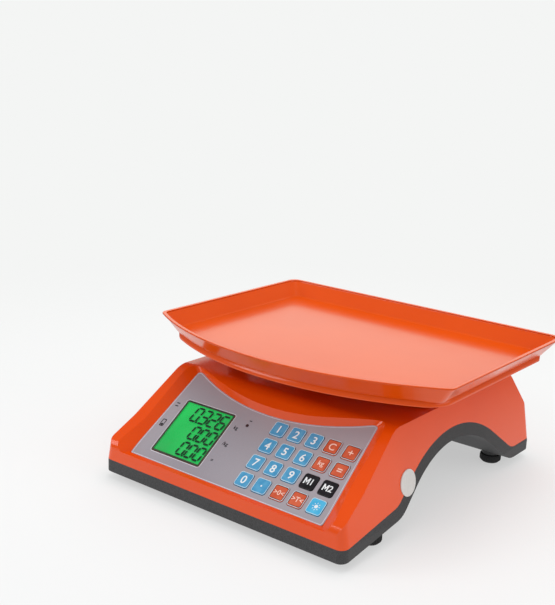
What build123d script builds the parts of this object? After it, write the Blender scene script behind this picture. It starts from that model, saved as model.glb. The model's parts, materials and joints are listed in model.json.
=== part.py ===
from build123d import *
import os
from math import atan2, cos, degrees, hypot, radians, sin, tan

# Price-computing shop scale: an arched two-shell body with a sloping console in front,
# a load cell with a four-armed spider on top, and a lift-off weighing tray.
# X is to the operator's right, Y runs from the operator to the customer, Z is up.
# The origin is on the counter, under the centre of the body.

os.makedirs("parts", exist_ok=True)

# ---------------------------------------------------------------- driving sizes
# body
body_width = 280.0
body_depth = 342.0
front_corner_radius = 8.0
rear_corner_radius = 10.0
shell_wall = 2.5
# the sides lean in from the front height of the seam upwards
side_lean = 10.3

# rear slope that carries the customer display
rear_slope_run = 36.0
rear_slope_rise = 48.5
rear_slope_radius = 16.0

# seam between the shells, which follows the arch
seam_front_height = 19.5
seam_front_rise = 7.5
seam_rear_height = 21.5
arch_centre_y = 12.5
arch_crown_gap = 23.8
arch_radius = 130.0
arch_slope = 36.0
arch_foot_radius = 24.0
band_height = 12.0
base_wall = 3.0
tongue_height = 3.0
tongue_wall = 1.5
tongue_gap = 0.2

# console
console_slope = 35.0
console_setback = 6.5
console_rise = 10.5
console_length = 111.0
console_middle_length = 84.0
console_side_front = 28.0
console_side_rear = 35.0
console_crown = 3.3
console_wall_lean = 56.0
console_corner_radius = 6.0
lip_height = 1.2
overlay_thickness = 0.6
overlay_radius = 4.0

# ridges at the sides of the console
ridge_nose_rise = 7.3
ridge_nose_radius = 12.0
ridge_waist_setback = 33.0
ridge_waist_lift = 7.8
ridge_waist_radius = 60.0
ridge_top_setback = 89.0
ridge_top_radius = 25.0

# keys
key_columns = 5
key_rows = 4
key_gap_x = 4.7
key_gap_s = 4.45
key_edge = 7.7
key_first_s = 15.0
key_size = 15.0
key_radius = 2.6
key_rim_radius = 0.4
key_proud = 0.7
key_travel = 0.6
key_side_gap = 0.35
key_flange = 1.2
key_flange_thickness = 1.2
key_stop_gap = 0.3
dome_gap = 0.3
dome_diameter = 9.0
dome_flare = 1.2
mat_thickness = 1.5
mat_margin = 5.5

# operator display
display_edge = 48.7
display_s = 42.2
display_view_x = 56.5
display_view_s = 58.7
lens_margin = 2.0
lens_thickness = 0.9
lens_gap = 0.2
lens_radius = 2.2
lcd_margin = 1.0
lcd_gap = 0.2
lcd_border = 1.0
lcd_thickness = 2.4
backlight_thickness = 3.5
led_diameter = 3.0
led_gap = 0.2
led_proud = 0.3
led_offset = 48.2
led_s = 67.1

# circuit boards, their posts and small screws
board_thickness = 1.6
board_radius = 2.0
board_start = 6.0
board_side_margin = 1.0
console_board_length = 77.0
post_diameter = 6.0
post_hole = 2.7
small_screw = 2.5
small_screw_head = 5.0
small_screw_head_height = 1.8
small_screw_bite = 3.5
screw_clearance = 0.3
screw_end_gap = 0.5
view_radius = 1.5

# customer display
rear_view_x = 112.0
rear_view_s = 30.0
rear_overlay_x = 150.0
rear_overlay_s = 41.0
rear_backlight_thickness = 3.0

# tray
tray_width = 340.0
tray_side = 223.0
tray_rear_setback = 13.8
tray_bow = 52.0
tray_lift = 42.5
tray_depth = 16.0
tray_floor_thickness = 2.5
tray_wall = 2.2
tray_wall_run = 12.5
tray_rim = 1.6
tray_rim_height = 1.6
tray_front_radius = 9.0
tray_rear_radius = 10.0
skirt_inset = 13.0
skirt_drop = 4.5
skirt_front_radius = 34.0
skirt_rear_radius = 14.0

# load cell and spider
cell_length = 130.0
cell_width = 30.0
cell_height = 18.0
cell_end = 40.0
cell_bolt_pitch = 20.0
cell_bolt = 6.0
cell_bolt_gap = 0.2
cell_bolt_head = 9.9
cell_bolt_head_height = 2.7
cell_bolt_short = 0.5
cell_radius = 1.5
cell_waist = 5.5
cell_waist_offset = 9.0
cell_slot = 3.0
chassis_length = 184.0
chassis_width = 64.0
chassis_thickness = 3.0
chassis_lift = 2.0
chassis_screw_inset = 8.0
chassis_radius = 6.0
spacer_height = 3.0
spacer_radius = 2.0
spider_gap = 2.6
spider_thickness = 5.0
spider_plate = 64.0
spider_radius = 8.0
spider_arm_width = 20.0
spider_side_inset = 62.0
spider_front_inset = 50.0
spider_rear_inset = 44.0
spider_post = 14.0
pad_diameter = 19.0
pad_height = 7.0
pad_gap = 0.3
pad_ring_gap = 1.0
pad_ring_wall = 2.0
pad_ring_height = 3.0
live_hole_gap = 2.0
live_hole_radius = 4.0

# feet
foot_side_setback = 17.0
foot_rear_side_setback = 24.0
foot_front_setback = 64.0
foot_rear_setback = 41.0
foot_diameter = 21.0
foot_height = 8.5
foot_stud = 8.0
foot_stud_fit = 0.08
foot_gap = 0.4
foot_boss = 18.0
foot_boss_above_floor = 6.0
foot_stud_spare = 2.0
foot_chamfer = 2.0
foot_round = 1.0

# screws that hold the two shells and the chassis plate
housing_screw = 3.5
housing_screw_gap = 0.1
housing_screw_head = 7.0
housing_screw_head_height = 2.6
housing_screw_recess = 1.0
housing_boss = 9.0
housing_boss_above_seam = 11.0
housing_boss_gap = 0.1
housing_screw_bite = 10.0
chassis_screw_bite = 4.0
chassis_screw_head_height = 2.2
housing_side_setback = 18.0
housing_front_setback = 25.0
housing_rear_setback = 19.0

# main board
main_board_x = 140.0
main_board_y = 42.0
main_board_setback = 47.0
main_board_above_floor = 7.0
main_board_boss = 7.0
main_board_inset = 5.0
# boxes: x, y from the board's middle, then length, width and height
board_boxes = [
    (-20.0, -4.0, 14.0, 14.0, 2.0),
    (24.0, -6.0, 10.0, 8.0, 2.0),
    (14.0, 14.0, 20.0, 7.0, 14.0),
    (-46.0, -14.0, 16.0, 6.0, 4.0),
    (-16.0, 15.0, 18.0, 6.0, 7.0),
    (44.0, -13.0, 18.0, 6.0, 3.5),
]
# round parts: x, y from the board's middle, then diameter and height
board_rounds = [
    (50.0, 12.0, 10.0, 13.0),
    (-48.0, 8.0, 12.0, 7.0),
]

# battery
battery_cell_diameter = 18.4
battery_cell_length = 65.2
battery_cell_gap = 0.2
battery_x = -30.0
battery_setback = 20.0
battery_wall = 1.4
battery_room = 0.7
battery_end_room = 1.7
battery_side_room = 0.8
door_gap = 0.4
door_pin = 1.6
door_pin_fit = 0.08
door_pin_length = 4.0
door_notch = 5.0
door_notch_depth = 1.6

# power switch and charger socket, in the rear wall
rear_fittings_rise = 11.0
switch_x = 70.0
switch_bezel_x = 23.0
switch_bezel_z = 16.0
switch_bezel_thickness = 1.8
switch_body_x = 19.4
switch_body_z = 12.8
switch_body_depth = 16.0
switch_wall = 1.2
switch_throw = 20.0
rocker_proud = 0.6
rocker_depth = 2.0
rocker_gap = 0.4
rocker_pin = 2.4
rocker_pin_fit = 0.08
socket_x = 98.0
socket_flange = 15.0
socket_flange_thickness = 1.4
socket_body = 11.0
socket_depth = 14.0
socket_bore = 6.4
socket_bore_depth = 11.0
socket_pin = 2.0
socket_pin_length = 4.5
cutout_gap = 0.2

# bubble level under the tray
level_side_setback = 40.0
level_y = 30.0
level_diameter = 18.0
level_depth = 7.0
level_flange = 22.0
level_flange_thickness = 1.2
level_wall = 1.2

# inspection seal on the right side, across the seam
seal_setback = 100.8
seal_above_seam = 3.2
seal_diameter = 24.0
seal_thickness = 0.8

# ---------------------------------------------------------------- worked-out sizes
big = 500.0
tall = 200.0
bite = 1.0

half_width = body_width / 2
rear_proud = switch_bezel_thickness + rocker_proud
body_centre_y = -rear_proud / 2
front_y = body_centre_y - body_depth / 2
rear_y = body_centre_y + body_depth / 2

console_front_y = front_y + console_setback
console_front_z = seam_front_height + console_rise
console_half_front = half_width - console_side_front
console_half_rear = half_width - console_side_rear
console_taper = degrees(atan2(console_half_front - console_half_rear, console_length))
body_top = console_front_z + console_length * sin(radians(console_slope)) + console_crown
lip_z = console_front_z + lip_height
console = Plane(
    origin=(0, console_front_y, console_front_z),
    x_dir=(1, 0, 0),
    z_dir=(0, -sin(radians(console_slope)), cos(radians(console_slope))),
)
key_pitch_x = key_size + key_gap_x
key_pitch_s = key_size + key_gap_s
key_first_x = console_half_rear - key_edge - (key_columns - 1) * key_pitch_x
display_x = display_edge - console_half_front
led_x = display_x + led_offset
console_board_depth = shell_wall + lcd_thickness + backlight_thickness
console_board_half = console_half_front + board_side_margin
console_post_x = console_half_front - post_diameter / 2

ridge_waist_y = front_y + ridge_waist_setback
ridge_waist_height = (
    console_front_z
    + (ridge_waist_y - console_front_y) * tan(radians(console_slope))
    + ridge_waist_lift
)
ridge_nose_height = console_front_z + ridge_nose_rise
ridge_top_y = front_y + ridge_top_setback

rear_slope_foot_z = body_top - rear_slope_rise
rear_slope_angle = degrees(atan2(rear_slope_rise, rear_slope_run))
rear_board_depth = shell_wall + lcd_thickness + rear_backlight_thickness
rear_face = Plane(
    origin=(0, rear_y - rear_slope_run / 2, body_top - rear_slope_rise / 2),
    x_dir=(-1, 0, 0),
    z_dir=(0, sin(radians(rear_slope_angle)), cos(radians(rear_slope_angle))),
)

arch_top = body_top - arch_crown_gap
floor_drop = band_height - base_wall
rear_floor_bottom = seam_rear_height - band_height
rear_floor_top = rear_floor_bottom + base_wall

tray_half = tray_width / 2
tray_rear_y = rear_y - tray_rear_setback
tray_corner_y = tray_rear_y - tray_side
tray_top = body_top + tray_lift
tray_floor = tray_top - tray_depth
tray_underside = tray_floor - tray_floor_thickness
skirt_bottom = tray_underside - skirt_drop
tray_arc_radius = (tray_half**2 + tray_bow**2) / (2 * tray_bow)
tray_arc_centre_y = tray_corner_y - tray_bow + tray_arc_radius
# the console ends in a wall that is concentric with the tray's front edge
scoop_apex_y = console_front_y + console_middle_length * cos(radians(console_slope))
scoop_radius = tray_arc_centre_y - scoop_apex_y

vault_top = arch_top - floor_drop
chassis_bottom = vault_top + chassis_lift
chassis_top = chassis_bottom + chassis_thickness
cell_bottom = chassis_top + spacer_height
cell_top = cell_bottom + cell_height
spider_bottom = body_top + spider_gap
spider_top = spider_bottom + spider_thickness
pad_top = tray_underside - pad_gap
pad_bottom = pad_top - pad_height
cell_y = arch_centre_y
cell_bolt_hole = cell_bolt + 2 * cell_bolt_gap
fixed_x = -(cell_length - cell_end) / 2
live_x = (cell_length - cell_end) / 2
spider_reach = tray_half - spider_side_inset
spider_front_y = tray_corner_y + spider_front_inset
spider_rear_y = tray_rear_y - spider_rear_inset

housing_screw_x = half_width - housing_side_setback
housing_screw_front_y = front_y + housing_front_setback
housing_screw_rear_y = rear_y - housing_rear_setback
housing_screw_hole = housing_screw + 2 * housing_screw_gap
housing_split = seam_front_height + housing_boss_above_seam
chassis_screw_x = chassis_length / 2 - chassis_screw_inset
chassis_screw_y = chassis_width / 2 - chassis_screw_inset

foot_x = half_width - foot_side_setback
foot_rear_x = half_width - foot_rear_side_setback
foot_front_y = front_y + foot_front_setback
foot_rear_y = rear_y - foot_rear_setback
front_floor_rise = tan(radians(seam_front_rise))
front_floor_low = seam_front_height - band_height / cos(radians(seam_front_rise))
front_foot_floor = front_floor_low + foot_front_setback * front_floor_rise + base_wall
foot_boss_top = front_foot_floor + foot_boss_above_floor
foot_stud_top = foot_boss_top - foot_stud_spare
main_board_centre_y = front_y + main_board_setback
main_board_floor = front_floor_low + main_board_setback * front_floor_rise + base_wall
main_board_z = main_board_floor + main_board_above_floor
battery_y = rear_y - battery_setback
door_x = 2 * battery_cell_length + battery_cell_gap + 2 * battery_end_room
door_y = battery_cell_diameter + 2 * battery_side_room
door_hinge_y = battery_y + door_y / 2 - door_gap - base_wall / 2
door_hinge_z = rear_floor_bottom + base_wall / 2
rear_fittings_z = seam_rear_height + rear_fittings_rise
rocker_y = rear_y - rocker_depth
switch_hole_x = switch_body_x + 2 * cutout_gap
switch_hole_z = switch_body_z + 2 * cutout_gap
level_x = level_side_setback - half_width
seal_y = front_y + seal_setback


def save(node, shape):
    export_step(shape, os.path.join("parts", node + ".step"))


def key_place(column, row):
    """Centre of a key on the console, with row 0 nearest the operator."""
    return (key_first_x + column * key_pitch_x, key_first_s + row * key_pitch_s)


# ---------------------------------------------------------------- shared forms
def plan_outline(half, inset, height):
    """Body outline seen from above at a height, with its half width given."""
    outline = Rectangle(2 * half, body_depth - 2 * inset)
    outline = fillet(outline.vertices().group_by(Axis.Y)[0], front_corner_radius - inset)
    outline = fillet(outline.vertices().group_by(Axis.Y)[-1], rear_corner_radius - inset)
    return Pos(0, body_centre_y, height) * outline


def leaning_half(height, inset=0.0):
    """Half width of the leaning sides at a height, or of the same sides drawn in."""
    lean = radians(side_lean)
    return half_width - inset / cos(lean) - (height - seam_front_height) * tan(lean)


def plan_prism(inset=0.0):
    """Block with the body's outline: sides upright below, and leaning in above the seam."""
    low, high = -tall / 2, tall
    straight = extrude(plan_outline(half_width - inset, inset, low), high - low)
    ends = [plan_outline(leaning_half(z, inset), inset, z) for z in (low, high)]
    return straight & loft(ends, ruled=True)


def line_crossing(point_a, angle_a, point_b, angle_b):
    """Crossing of two lines, each given by a point and its angle in degrees."""
    ax, ay = cos(radians(angle_a)), sin(radians(angle_a))
    bx, by = cos(radians(angle_b)), sin(radians(angle_b))
    dx, dy = point_b[0] - point_a[0], point_b[1] - point_a[1]
    along = (dx * by - dy * bx) / (ax * by - ay * bx)
    return (point_a[0] + along * ax, point_a[1] + along * ay)


def beside(line, drop):
    """A line, given by a point and an angle, moved square to its right-hand side."""
    point, angle = line
    across = (drop * sin(radians(angle)), -drop * cos(radians(angle)))
    return ((point[0] + across[0], point[1] + across[1]), angle)


def parallel_corners(lines, drop):
    """Crossings of neighbouring lines, each first moved to its right-hand side."""
    moved = [beside(line, drop) for line in lines]
    return [line_crossing(*moved[i], *moved[i + 1]) for i in range(len(moved) - 1)]


def below_seam(drop=0.0):
    """Everything under the arched seam, or under a line that runs lower beside it."""
    crest = (arch_centre_y, arch_top - arch_radius + arch_radius / cos(radians(arch_slope)))
    ahead = ((-big / 2, 0.0), 90.0)
    behind = ((big / 2, 0.0), 90.0)
    lines = [
        ((front_y, seam_front_height), seam_front_rise),
        (crest, arch_slope),
        (crest, -arch_slope),
        ((rear_y, seam_rear_height), 0.0),
    ]
    corners = parallel_corners(lines, drop)
    start = line_crossing(*ahead, *beside(lines[0], drop))
    end = line_crossing(*behind, *beside(lines[-1], drop))
    foot_radius = arch_foot_radius + drop
    seam = FilletPolyline(
        start, *corners, end, radius=[foot_radius, arch_radius - drop, foot_radius]
    )
    closing = Polyline(end, (big / 2, -big / 2), (-big / 2, -big / 2), start)
    return extrude(Plane.YZ * make_face([seam, closing]), big / 2, both=True)


def side_profile(inset):
    """Side outline of the body, from the front nose over the ridge to the rear slope."""
    waist = (ridge_waist_y, ridge_waist_height)
    nose_angle = degrees(atan2(waist[1] - ridge_nose_height, waist[0] - front_y))
    brow_angle = degrees(atan2(body_top - waist[1], ridge_top_y - waist[0]))
    lines = [
        ((front_y, 0.0), 90.0),
        (waist, nose_angle),
        (waist, brow_angle),
        ((0.0, body_top), 0.0),
        ((rear_y, rear_slope_foot_z), -rear_slope_angle),
        ((rear_y, 0.0), -90.0),
    ]
    return FilletPolyline(
        (front_y + inset, -tall / 2),
        *parallel_corners(lines, inset),
        (rear_y - inset, -tall / 2),
        radius=[
            ridge_nose_radius - inset,
            ridge_waist_radius + inset,
            ridge_top_radius - inset,
            rear_slope_radius - inset,
            rear_slope_radius - inset,
        ],
    )


def body_form(inset=0.0):
    """Outer form of the body, or the same form drawn in by a wall."""
    profile = side_profile(inset)
    face = Plane.YZ * make_face([profile, Line(profile @ 1, profile @ 0)])
    return extrude(face, half_width, both=True) & plan_prism(inset)


def console_recess(grow=0.0):
    """Hollow over the console, between its ridges and the curved wall under the tray."""
    reach = 30.0
    front = console_half_front + reach * tan(radians(console_taper))
    rear_reach = console_length + reach
    rear = console_half_front - rear_reach * tan(radians(console_taper))
    spread = grow / cos(radians(console_wall_lean)) - grow * tan(radians(console_wall_lean))
    floor = make_face(
        Polyline(
            (-front - spread, -reach),
            (front + spread, -reach),
            (rear + spread, rear_reach),
            (-rear - spread, rear_reach),
            close=True,
        )
    )
    hollow = extrude(console.offset(-grow) * floor, 60.0, taper=-console_wall_lean)
    scoop = Cylinder(scoop_radius - grow, big)
    hollow = hollow - Pos(0, tray_arc_centre_y, 0) * scoop
    corners = [edge for edge in hollow.edges() if edge.center().Y > -100 and is_steep(edge)]
    hollow = fillet(corners, console_corner_radius)
    lip = Box(big, big, big, align=(Align.CENTER, Align.MAX, Align.MAX))
    return hollow - Pos(0, console_front_y + grow / 2, lip_z - grow) * lip


def is_steep(edge):
    """True for an edge that climbs more than it runs from side to side."""
    start, end = edge @ 0, edge @ 1
    return abs(end.Z - start.Z) > abs(end.X - start.X)


def console_point(x, s, height=0.0):
    """Location on the console, by its own across, upslope and square-out distances."""
    return console.location * Location((x, s, height))


def console_block(x, s, size_x, size_s, low, high, radius=0.0):
    """Upright block on the console between two heights over its floor."""
    outline = Rectangle(size_x, size_s)
    if radius > 0:
        outline = fillet(outline.vertices(), radius)
    return console_point(x, s, low) * extrude(outline, high - low)


def console_pin(x, s, diameter, low, high):
    """Round pin square to the console between two heights over its floor."""
    pin = Cylinder(diameter / 2, high - low, align=(Align.CENTER, Align.CENTER, Align.MIN))
    return console_point(x, s, low) * pin


def upright(x, y, diameter, low, high):
    """Round vertical bar."""
    bar = Cylinder(diameter / 2, high - low, align=(Align.CENTER, Align.CENTER, Align.MIN))
    return Pos(x, y, low) * bar


def block(x, y, size_x, size_y, low, high, radius=0.0):
    """Vertical block, with its upright edges rounded where a radius is given."""
    outline = Rectangle(size_x, size_y)
    if radius > 0:
        outline = fillet(outline.vertices(), radius)
    return Pos(x, y, low) * extrude(outline, high - low)


def rear_block(x, s, size_x, size_s, low, high, radius=0.0):
    """Block square to the rear slope between two heights over its face."""
    outline = Rectangle(size_x, size_s)
    if radius > 0:
        outline = fillet(outline.vertices(), radius)
    return rear_face.location * Location((x, s, low)) * extrude(outline, high - low)


def rear_pin(x, s, diameter, low, high):
    """Round pin square to the rear slope between two heights over its face."""
    pin = Cylinder(diameter / 2, high - low, align=(Align.CENTER, Align.CENTER, Align.MIN))
    return rear_face.location * Location((x, s, low)) * pin


def all_keys():
    return [
        (column, row)
        for row in range(key_rows)
        for column in range(key_columns)
    ]


console_posts = [
    (-console_post_x, 20.0),
    (-console_post_x, 64.0),
    (-12.0, 12.0),
    (0.0, 78.0),
    (console_post_x, 20.0),
    (console_post_x, 64.0),
]
rear_posts = [
    (side * (rear_view_x / 2 + lcd_margin + post_diameter), 0.0)
    for side in (-1, 1)
]
foot_places = {
    "front_left": (-foot_x, foot_front_y),
    "front_right": (foot_x, foot_front_y),
    "rear_left": (-foot_rear_x, foot_rear_y),
    "rear_right": (foot_rear_x, foot_rear_y),
}
housing_screws_at = [
    (sx * housing_screw_x, y)
    for sx in (-1, 1)
    for y in (housing_screw_front_y, housing_screw_rear_y)
]
main_board_posts = [
    (
        sx * (main_board_x / 2 - main_board_inset),
        main_board_centre_y + sy * (main_board_y / 2 - main_board_inset),
    )
    for sx in (-1, 1)
    for sy in (-1, 1)
]
lcd_x = display_view_x + 2 * lcd_margin
lcd_s = display_view_s + 2 * lcd_margin
lens_x = display_view_x + 2 * lens_margin
lens_s = display_view_s + 2 * lens_margin
rear_lcd_x = rear_view_x + 2 * lcd_margin
rear_lcd_s = rear_view_s + 2 * lcd_margin
rear_lens_x = rear_view_x + 2 * lens_margin
rear_lens_s = rear_view_s + 2 * lens_margin
spider_places = [
    (sx * spider_reach, y)
    for sx in (-1, 1)
    for y in (spider_front_y, spider_rear_y)
]


# ---------------------------------------------------------------- shells
def front_display_block(size_x, size_s, low, high, radius=0.0):
    """Block on the console, centred on the operator display."""
    return console_block(display_x, display_s, size_x, size_s, low, high, radius)


def cut_key_holes(shape, low, high):
    """The same shape with a square hole for every key."""
    hole = key_size + 2 * key_side_gap
    for column, row in all_keys():
        x, s = key_place(column, row)
        shape = shape - console_block(x, s, hole, hole, low, high, radius=key_radius)
    return shape


def make_upper_shell():
    outer = body_form() - console_recess()
    inner = body_form(shell_wall) - console_recess(shell_wall)
    shell = outer - inner
    for x, s in console_posts:
        post = console_pin(x, s, post_diameter, -console_board_depth, shell_wall)
        shell = shell + (post & outer)
    for x, s in rear_posts:
        post = rear_block(x, s, post_diameter, post_diameter, -rear_board_depth, 0.0)
        shell = shell + (post & outer)
    for x, y in housing_screws_at:
        shell = shell + (upright(x, y, housing_boss, housing_split, body_top) & outer)
    # openings in the console
    shell = shell - front_display_block(
        lcd_x + 2 * lcd_gap, lcd_s + 2 * lcd_gap, -2 * shell_wall, bite, view_radius
    )
    shell = cut_key_holes(shell, -2 * shell_wall, bite)
    led_hole = led_diameter + 2 * led_gap
    shell = shell - console_pin(led_x, led_s, led_hole, -2 * shell_wall, bite)
    # openings in the rear slope, the rear wall and the top
    rear_opening_x = rear_lcd_x + 2 * lcd_gap
    rear_opening_s = rear_lcd_s + 2 * lcd_gap
    shell = shell - rear_block(
        0, 0, rear_opening_x, rear_opening_s, -2 * shell_wall, bite, view_radius
    )
    shell = shell - rear_wall_box(switch_x, switch_hole_x, switch_hole_z)
    shell = shell - rear_wall_bar(
        socket_x, socket_body + 2 * cutout_gap, -shell_wall - bite, bite
    )
    shell = shell - block(
        live_x,
        cell_y,
        cell_end + 2 * live_hole_gap,
        cell_width + 2 * live_hole_gap,
        body_top - 2 * shell_wall,
        body_top + bite,
        live_hole_radius,
    )
    shell = shell - upright(
        level_x,
        level_y,
        level_diameter + 2 * cutout_gap,
        body_top - 2 * shell_wall,
        body_top + bite,
    )
    # pilot holes
    pilot = small_screw_bite + screw_end_gap
    for x, s in console_posts:
        low = -console_board_depth
        shell = shell - console_pin(x, s, post_hole, low - bite, low + pilot)
    for x, s in rear_posts:
        low = -rear_board_depth
        shell = shell - rear_pin(x, s, post_hole, low - bite, low + pilot)
    for x, y in housing_screws_at:
        top = housing_split + housing_screw_bite + screw_end_gap
        shell = shell - upright(x, y, housing_screw_hole, housing_split - bite, top)
    return shell - below_seam()


def make_lower_shell():
    skin = (plan_prism() & below_seam()) - below_seam(band_height)
    room = (plan_prism(shell_wall) & below_seam(-bite)) - below_seam(floor_drop)
    shell = skin - room
    # a tongue inside the upper shell's wall
    tongue_inset = shell_wall + tongue_gap
    tongue = plan_prism(tongue_inset) & below_seam(-tongue_height)
    tongue = tongue - plan_prism(tongue_inset + tongue_wall)
    shell = shell + (tongue - below_seam(floor_drop))
    under = below_seam(band_height)
    for x, y in housing_screws_at:
        shell = shell + (upright(x, y, housing_boss, 0, housing_split - housing_boss_gap) - under)
    for x, y in main_board_posts:
        shell = shell + (upright(x, y, main_board_boss, 0, main_board_z) - under)
    for x, y in foot_places.values():
        shell = shell + upright(x, y, foot_boss, foot_height + foot_gap, foot_boss_top)
        shell = shell - upright(x, y, foot_stud + 2 * foot_stud_fit, 0.0, tall)
    for x, y in chassis_screws():
        shell = shell + (upright(x, y, housing_boss, foot_boss_top, chassis_bottom) - under)
    for x, y in housing_screws_at:
        shell = shell - upright(x, y, housing_screw_hole, 0, housing_split + bite)
        shell = shell - upright(x, y, housing_screw_head + 2 * screw_clearance, 0, housing_seat(x, y))
    for x, y in main_board_posts:
        pilot = small_screw_bite + screw_end_gap
        shell = shell - upright(x, y, post_hole, main_board_z - pilot, main_board_z + bite)
    for x, y in chassis_screws():
        pilot = chassis_screw_bite + screw_end_gap
        low = chassis_bottom - pilot
        shell = shell - upright(x, y, housing_screw_hole, low, chassis_bottom + bite)
    return shell - battery_opening()


def floor_height(y):
    """Height of the lower shell's underside under a point on its front slope."""
    return front_floor_low + (y - front_y) * front_floor_rise


def housing_seat(x, y):
    """Height of the seat under a housing screw's head."""
    low = rear_floor_bottom if y > 0 else floor_height(y)
    return low + housing_screw_head_height + housing_screw_recess


def chassis_screws():
    return [
        (sx * chassis_screw_x, cell_y + sy * chassis_screw_y)
        for sx in (-1, 1)
        for sy in (-1, 1)
    ]


def battery_opening():
    """Opening for the battery door, with the holes for its two pins."""
    low, high = rear_floor_bottom - bite, rear_floor_top + bite
    opening = block(battery_x, battery_y, door_x, door_y, low, high)
    reach = door_x + 2 * door_pin_length + bite
    return opening + door_hinge_bar(door_pin + 2 * door_pin_fit, reach)


def door_hinge_bar(diameter, length):
    """Bar along the battery door's hinge line."""
    bar = Rot(0, 90, 0) * Cylinder(diameter / 2, length)
    return Pos(battery_x, door_hinge_y, door_hinge_z) * bar


def rear_wall_box(x, size_x, size_z):
    """Cutter through the rear wall."""
    return Pos(x, rear_y - shell_wall / 2, rear_fittings_z) * Box(size_x, 4 * shell_wall, size_z)


def rear_wall_bar(x, diameter, start, end):
    """Round bar through the rear wall, between two distances out from its face."""
    bar = Cylinder(diameter / 2, end - start, align=(Align.CENTER, Align.CENTER, Align.MAX))
    return Pos(x, rear_y + start, rear_fittings_z) * Rot(90, 0, 0) * bar


# ---------------------------------------------------------------- console pieces
def make_console_overlay():
    length = 2 * console_length
    slab = console_block(
        0, length / 2, 2 * console_half_front, length, 0.0, overlay_thickness, overlay_radius
    )
    sheet = console_recess() & slab
    window_x = lens_x + 2 * lens_gap
    window_s = lens_s + 2 * lens_gap
    sheet = sheet - front_display_block(window_x, window_s, -bite, bite, lens_radius)
    sheet = cut_key_holes(sheet, -bite, bite)
    return sheet - console_pin(led_x, led_s, led_diameter + 2 * led_gap, -bite, bite)


def make_key(column, row):
    x, s = key_place(column, row)
    flange_top = -shell_wall - key_stop_gap
    flange_low = flange_top - key_flange_thickness
    top = overlay_thickness + key_proud
    cap = console_block(x, s, key_size, key_size, flange_top, top, radius=key_radius)
    rim = cap.faces().sort_by(Axis(console.origin, console.z_dir))[-1].edges()
    cap = fillet(rim, key_rim_radius)
    flange_size = key_size + 2 * key_flange
    flange = console_block(
        x, s, flange_size, flange_size, flange_low, flange_top, radius=key_radius
    )
    return cap + flange


def make_key_mat():
    key_bottom = -shell_wall - key_stop_gap - key_flange_thickness
    dome_top = key_bottom - key_travel - dome_gap
    centre_x = key_first_x + (key_columns - 1) * key_pitch_x / 2
    centre_s = key_first_s + (key_rows - 1) * key_pitch_s / 2
    low = -console_board_depth
    mat = console_block(
        centre_x,
        centre_s,
        (key_columns - 1) * key_pitch_x + 2 * mat_margin,
        (key_rows - 1) * key_pitch_s + 2 * mat_margin,
        low,
        low + mat_thickness,
        radius=board_radius,
    )
    dome_height = dome_top - (low + mat_thickness)
    dome = Cone(
        dome_diameter / 2 + dome_flare,
        dome_diameter / 2,
        dome_height,
        align=(Align.CENTER, Align.CENTER, Align.MIN),
    )
    for column, row in all_keys():
        x, s = key_place(column, row)
        mat = mat + console_point(x, s, low + mat_thickness) * dome
    return mat


def make_console_board():
    low = -console_board_depth - board_thickness
    board = console_block(
        0,
        board_start + console_board_length / 2,
        2 * console_board_half,
        console_board_length,
        low,
        -console_board_depth,
        radius=board_radius,
    )
    for x, s in console_posts:
        hole = small_screw + 2 * screw_clearance
        board = board - console_pin(x, s, hole, low - bite, -console_board_depth + bite)
    return board


def make_console_screw(x, s):
    seat = -console_board_depth - board_thickness
    head = console_pin(x, s, small_screw_head, seat - small_screw_head_height, seat)
    return head + console_pin(x, s, small_screw, seat, -console_board_depth + small_screw_bite)


def make_led():
    top = overlay_thickness + led_proud
    return console_pin(led_x, led_s, led_diameter, -console_board_depth, top)


# ---------------------------------------------------------------- customer display
def make_rear_board():
    low = -rear_board_depth - board_thickness
    width = 2 * (rear_posts[1][0] + post_diameter)
    board = rear_block(0, 0, width, rear_lcd_s, low, -rear_board_depth, board_radius)
    for x, s in rear_posts:
        hole = small_screw + 2 * screw_clearance
        board = board - rear_pin(x, s, hole, low - bite, -rear_board_depth + bite)
    return board


def make_rear_screw(x, s):
    seat = -rear_board_depth - board_thickness
    head = rear_pin(x, s, small_screw_head, seat - small_screw_head_height, seat)
    return head + rear_pin(x, s, small_screw, seat, -rear_board_depth + small_screw_bite)


def make_rear_overlay():
    sheet = rear_block(
        0, 0, rear_overlay_x, rear_overlay_s, 0.0, overlay_thickness, overlay_radius
    )
    window_x = rear_lens_x + 2 * lens_gap
    window_s = rear_lens_s + 2 * lens_gap
    return sheet - rear_block(0, 0, window_x, window_s, -bite, bite, lens_radius)


# ---------------------------------------------------------------- tray
def tray_outline(inset, front_radius, rear_radius):
    """Tray seen from above, drawn in by an inset, with its four corners rounded."""
    corners = [
        (-tray_half, tray_corner_y),
        (-tray_half, tray_rear_y),
        (tray_half, tray_rear_y),
        (tray_half, tray_corner_y),
    ]
    sides = Polyline(*corners)
    bow = ThreePointArc(corners[-1], (0, tray_corner_y - tray_bow), corners[0])
    outline = make_face([sides, bow])
    if inset > 0:
        outline = offset(outline, amount=-inset, kind=Kind.INTERSECTION)
    rear = outline.vertices().group_by(Axis.Y)[-1]
    outline = fillet(rear, rear_radius)
    front = outline.vertices().sort_by(Axis.Y)[:2]
    return fillet(front, front_radius)


def tray_ring(outer_inset, wall, low, high, front_radius, rear_radius):
    outer = tray_outline(outer_inset, front_radius, rear_radius)
    inner = tray_outline(outer_inset + wall, front_radius - wall, rear_radius - wall)
    return Pos(0, 0, low) * extrude(outer - inner, high - low)


def flared(low, inset_low, high, inset_high):
    """Tray-shaped block that widens upwards."""
    foot = tray_outline(inset_low, tray_front_radius, tray_rear_radius)
    head = tray_outline(inset_high, tray_front_radius, tray_rear_radius)
    return loft([Pos(0, 0, low) * foot, Pos(0, 0, high) * head], ruled=True)


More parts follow.
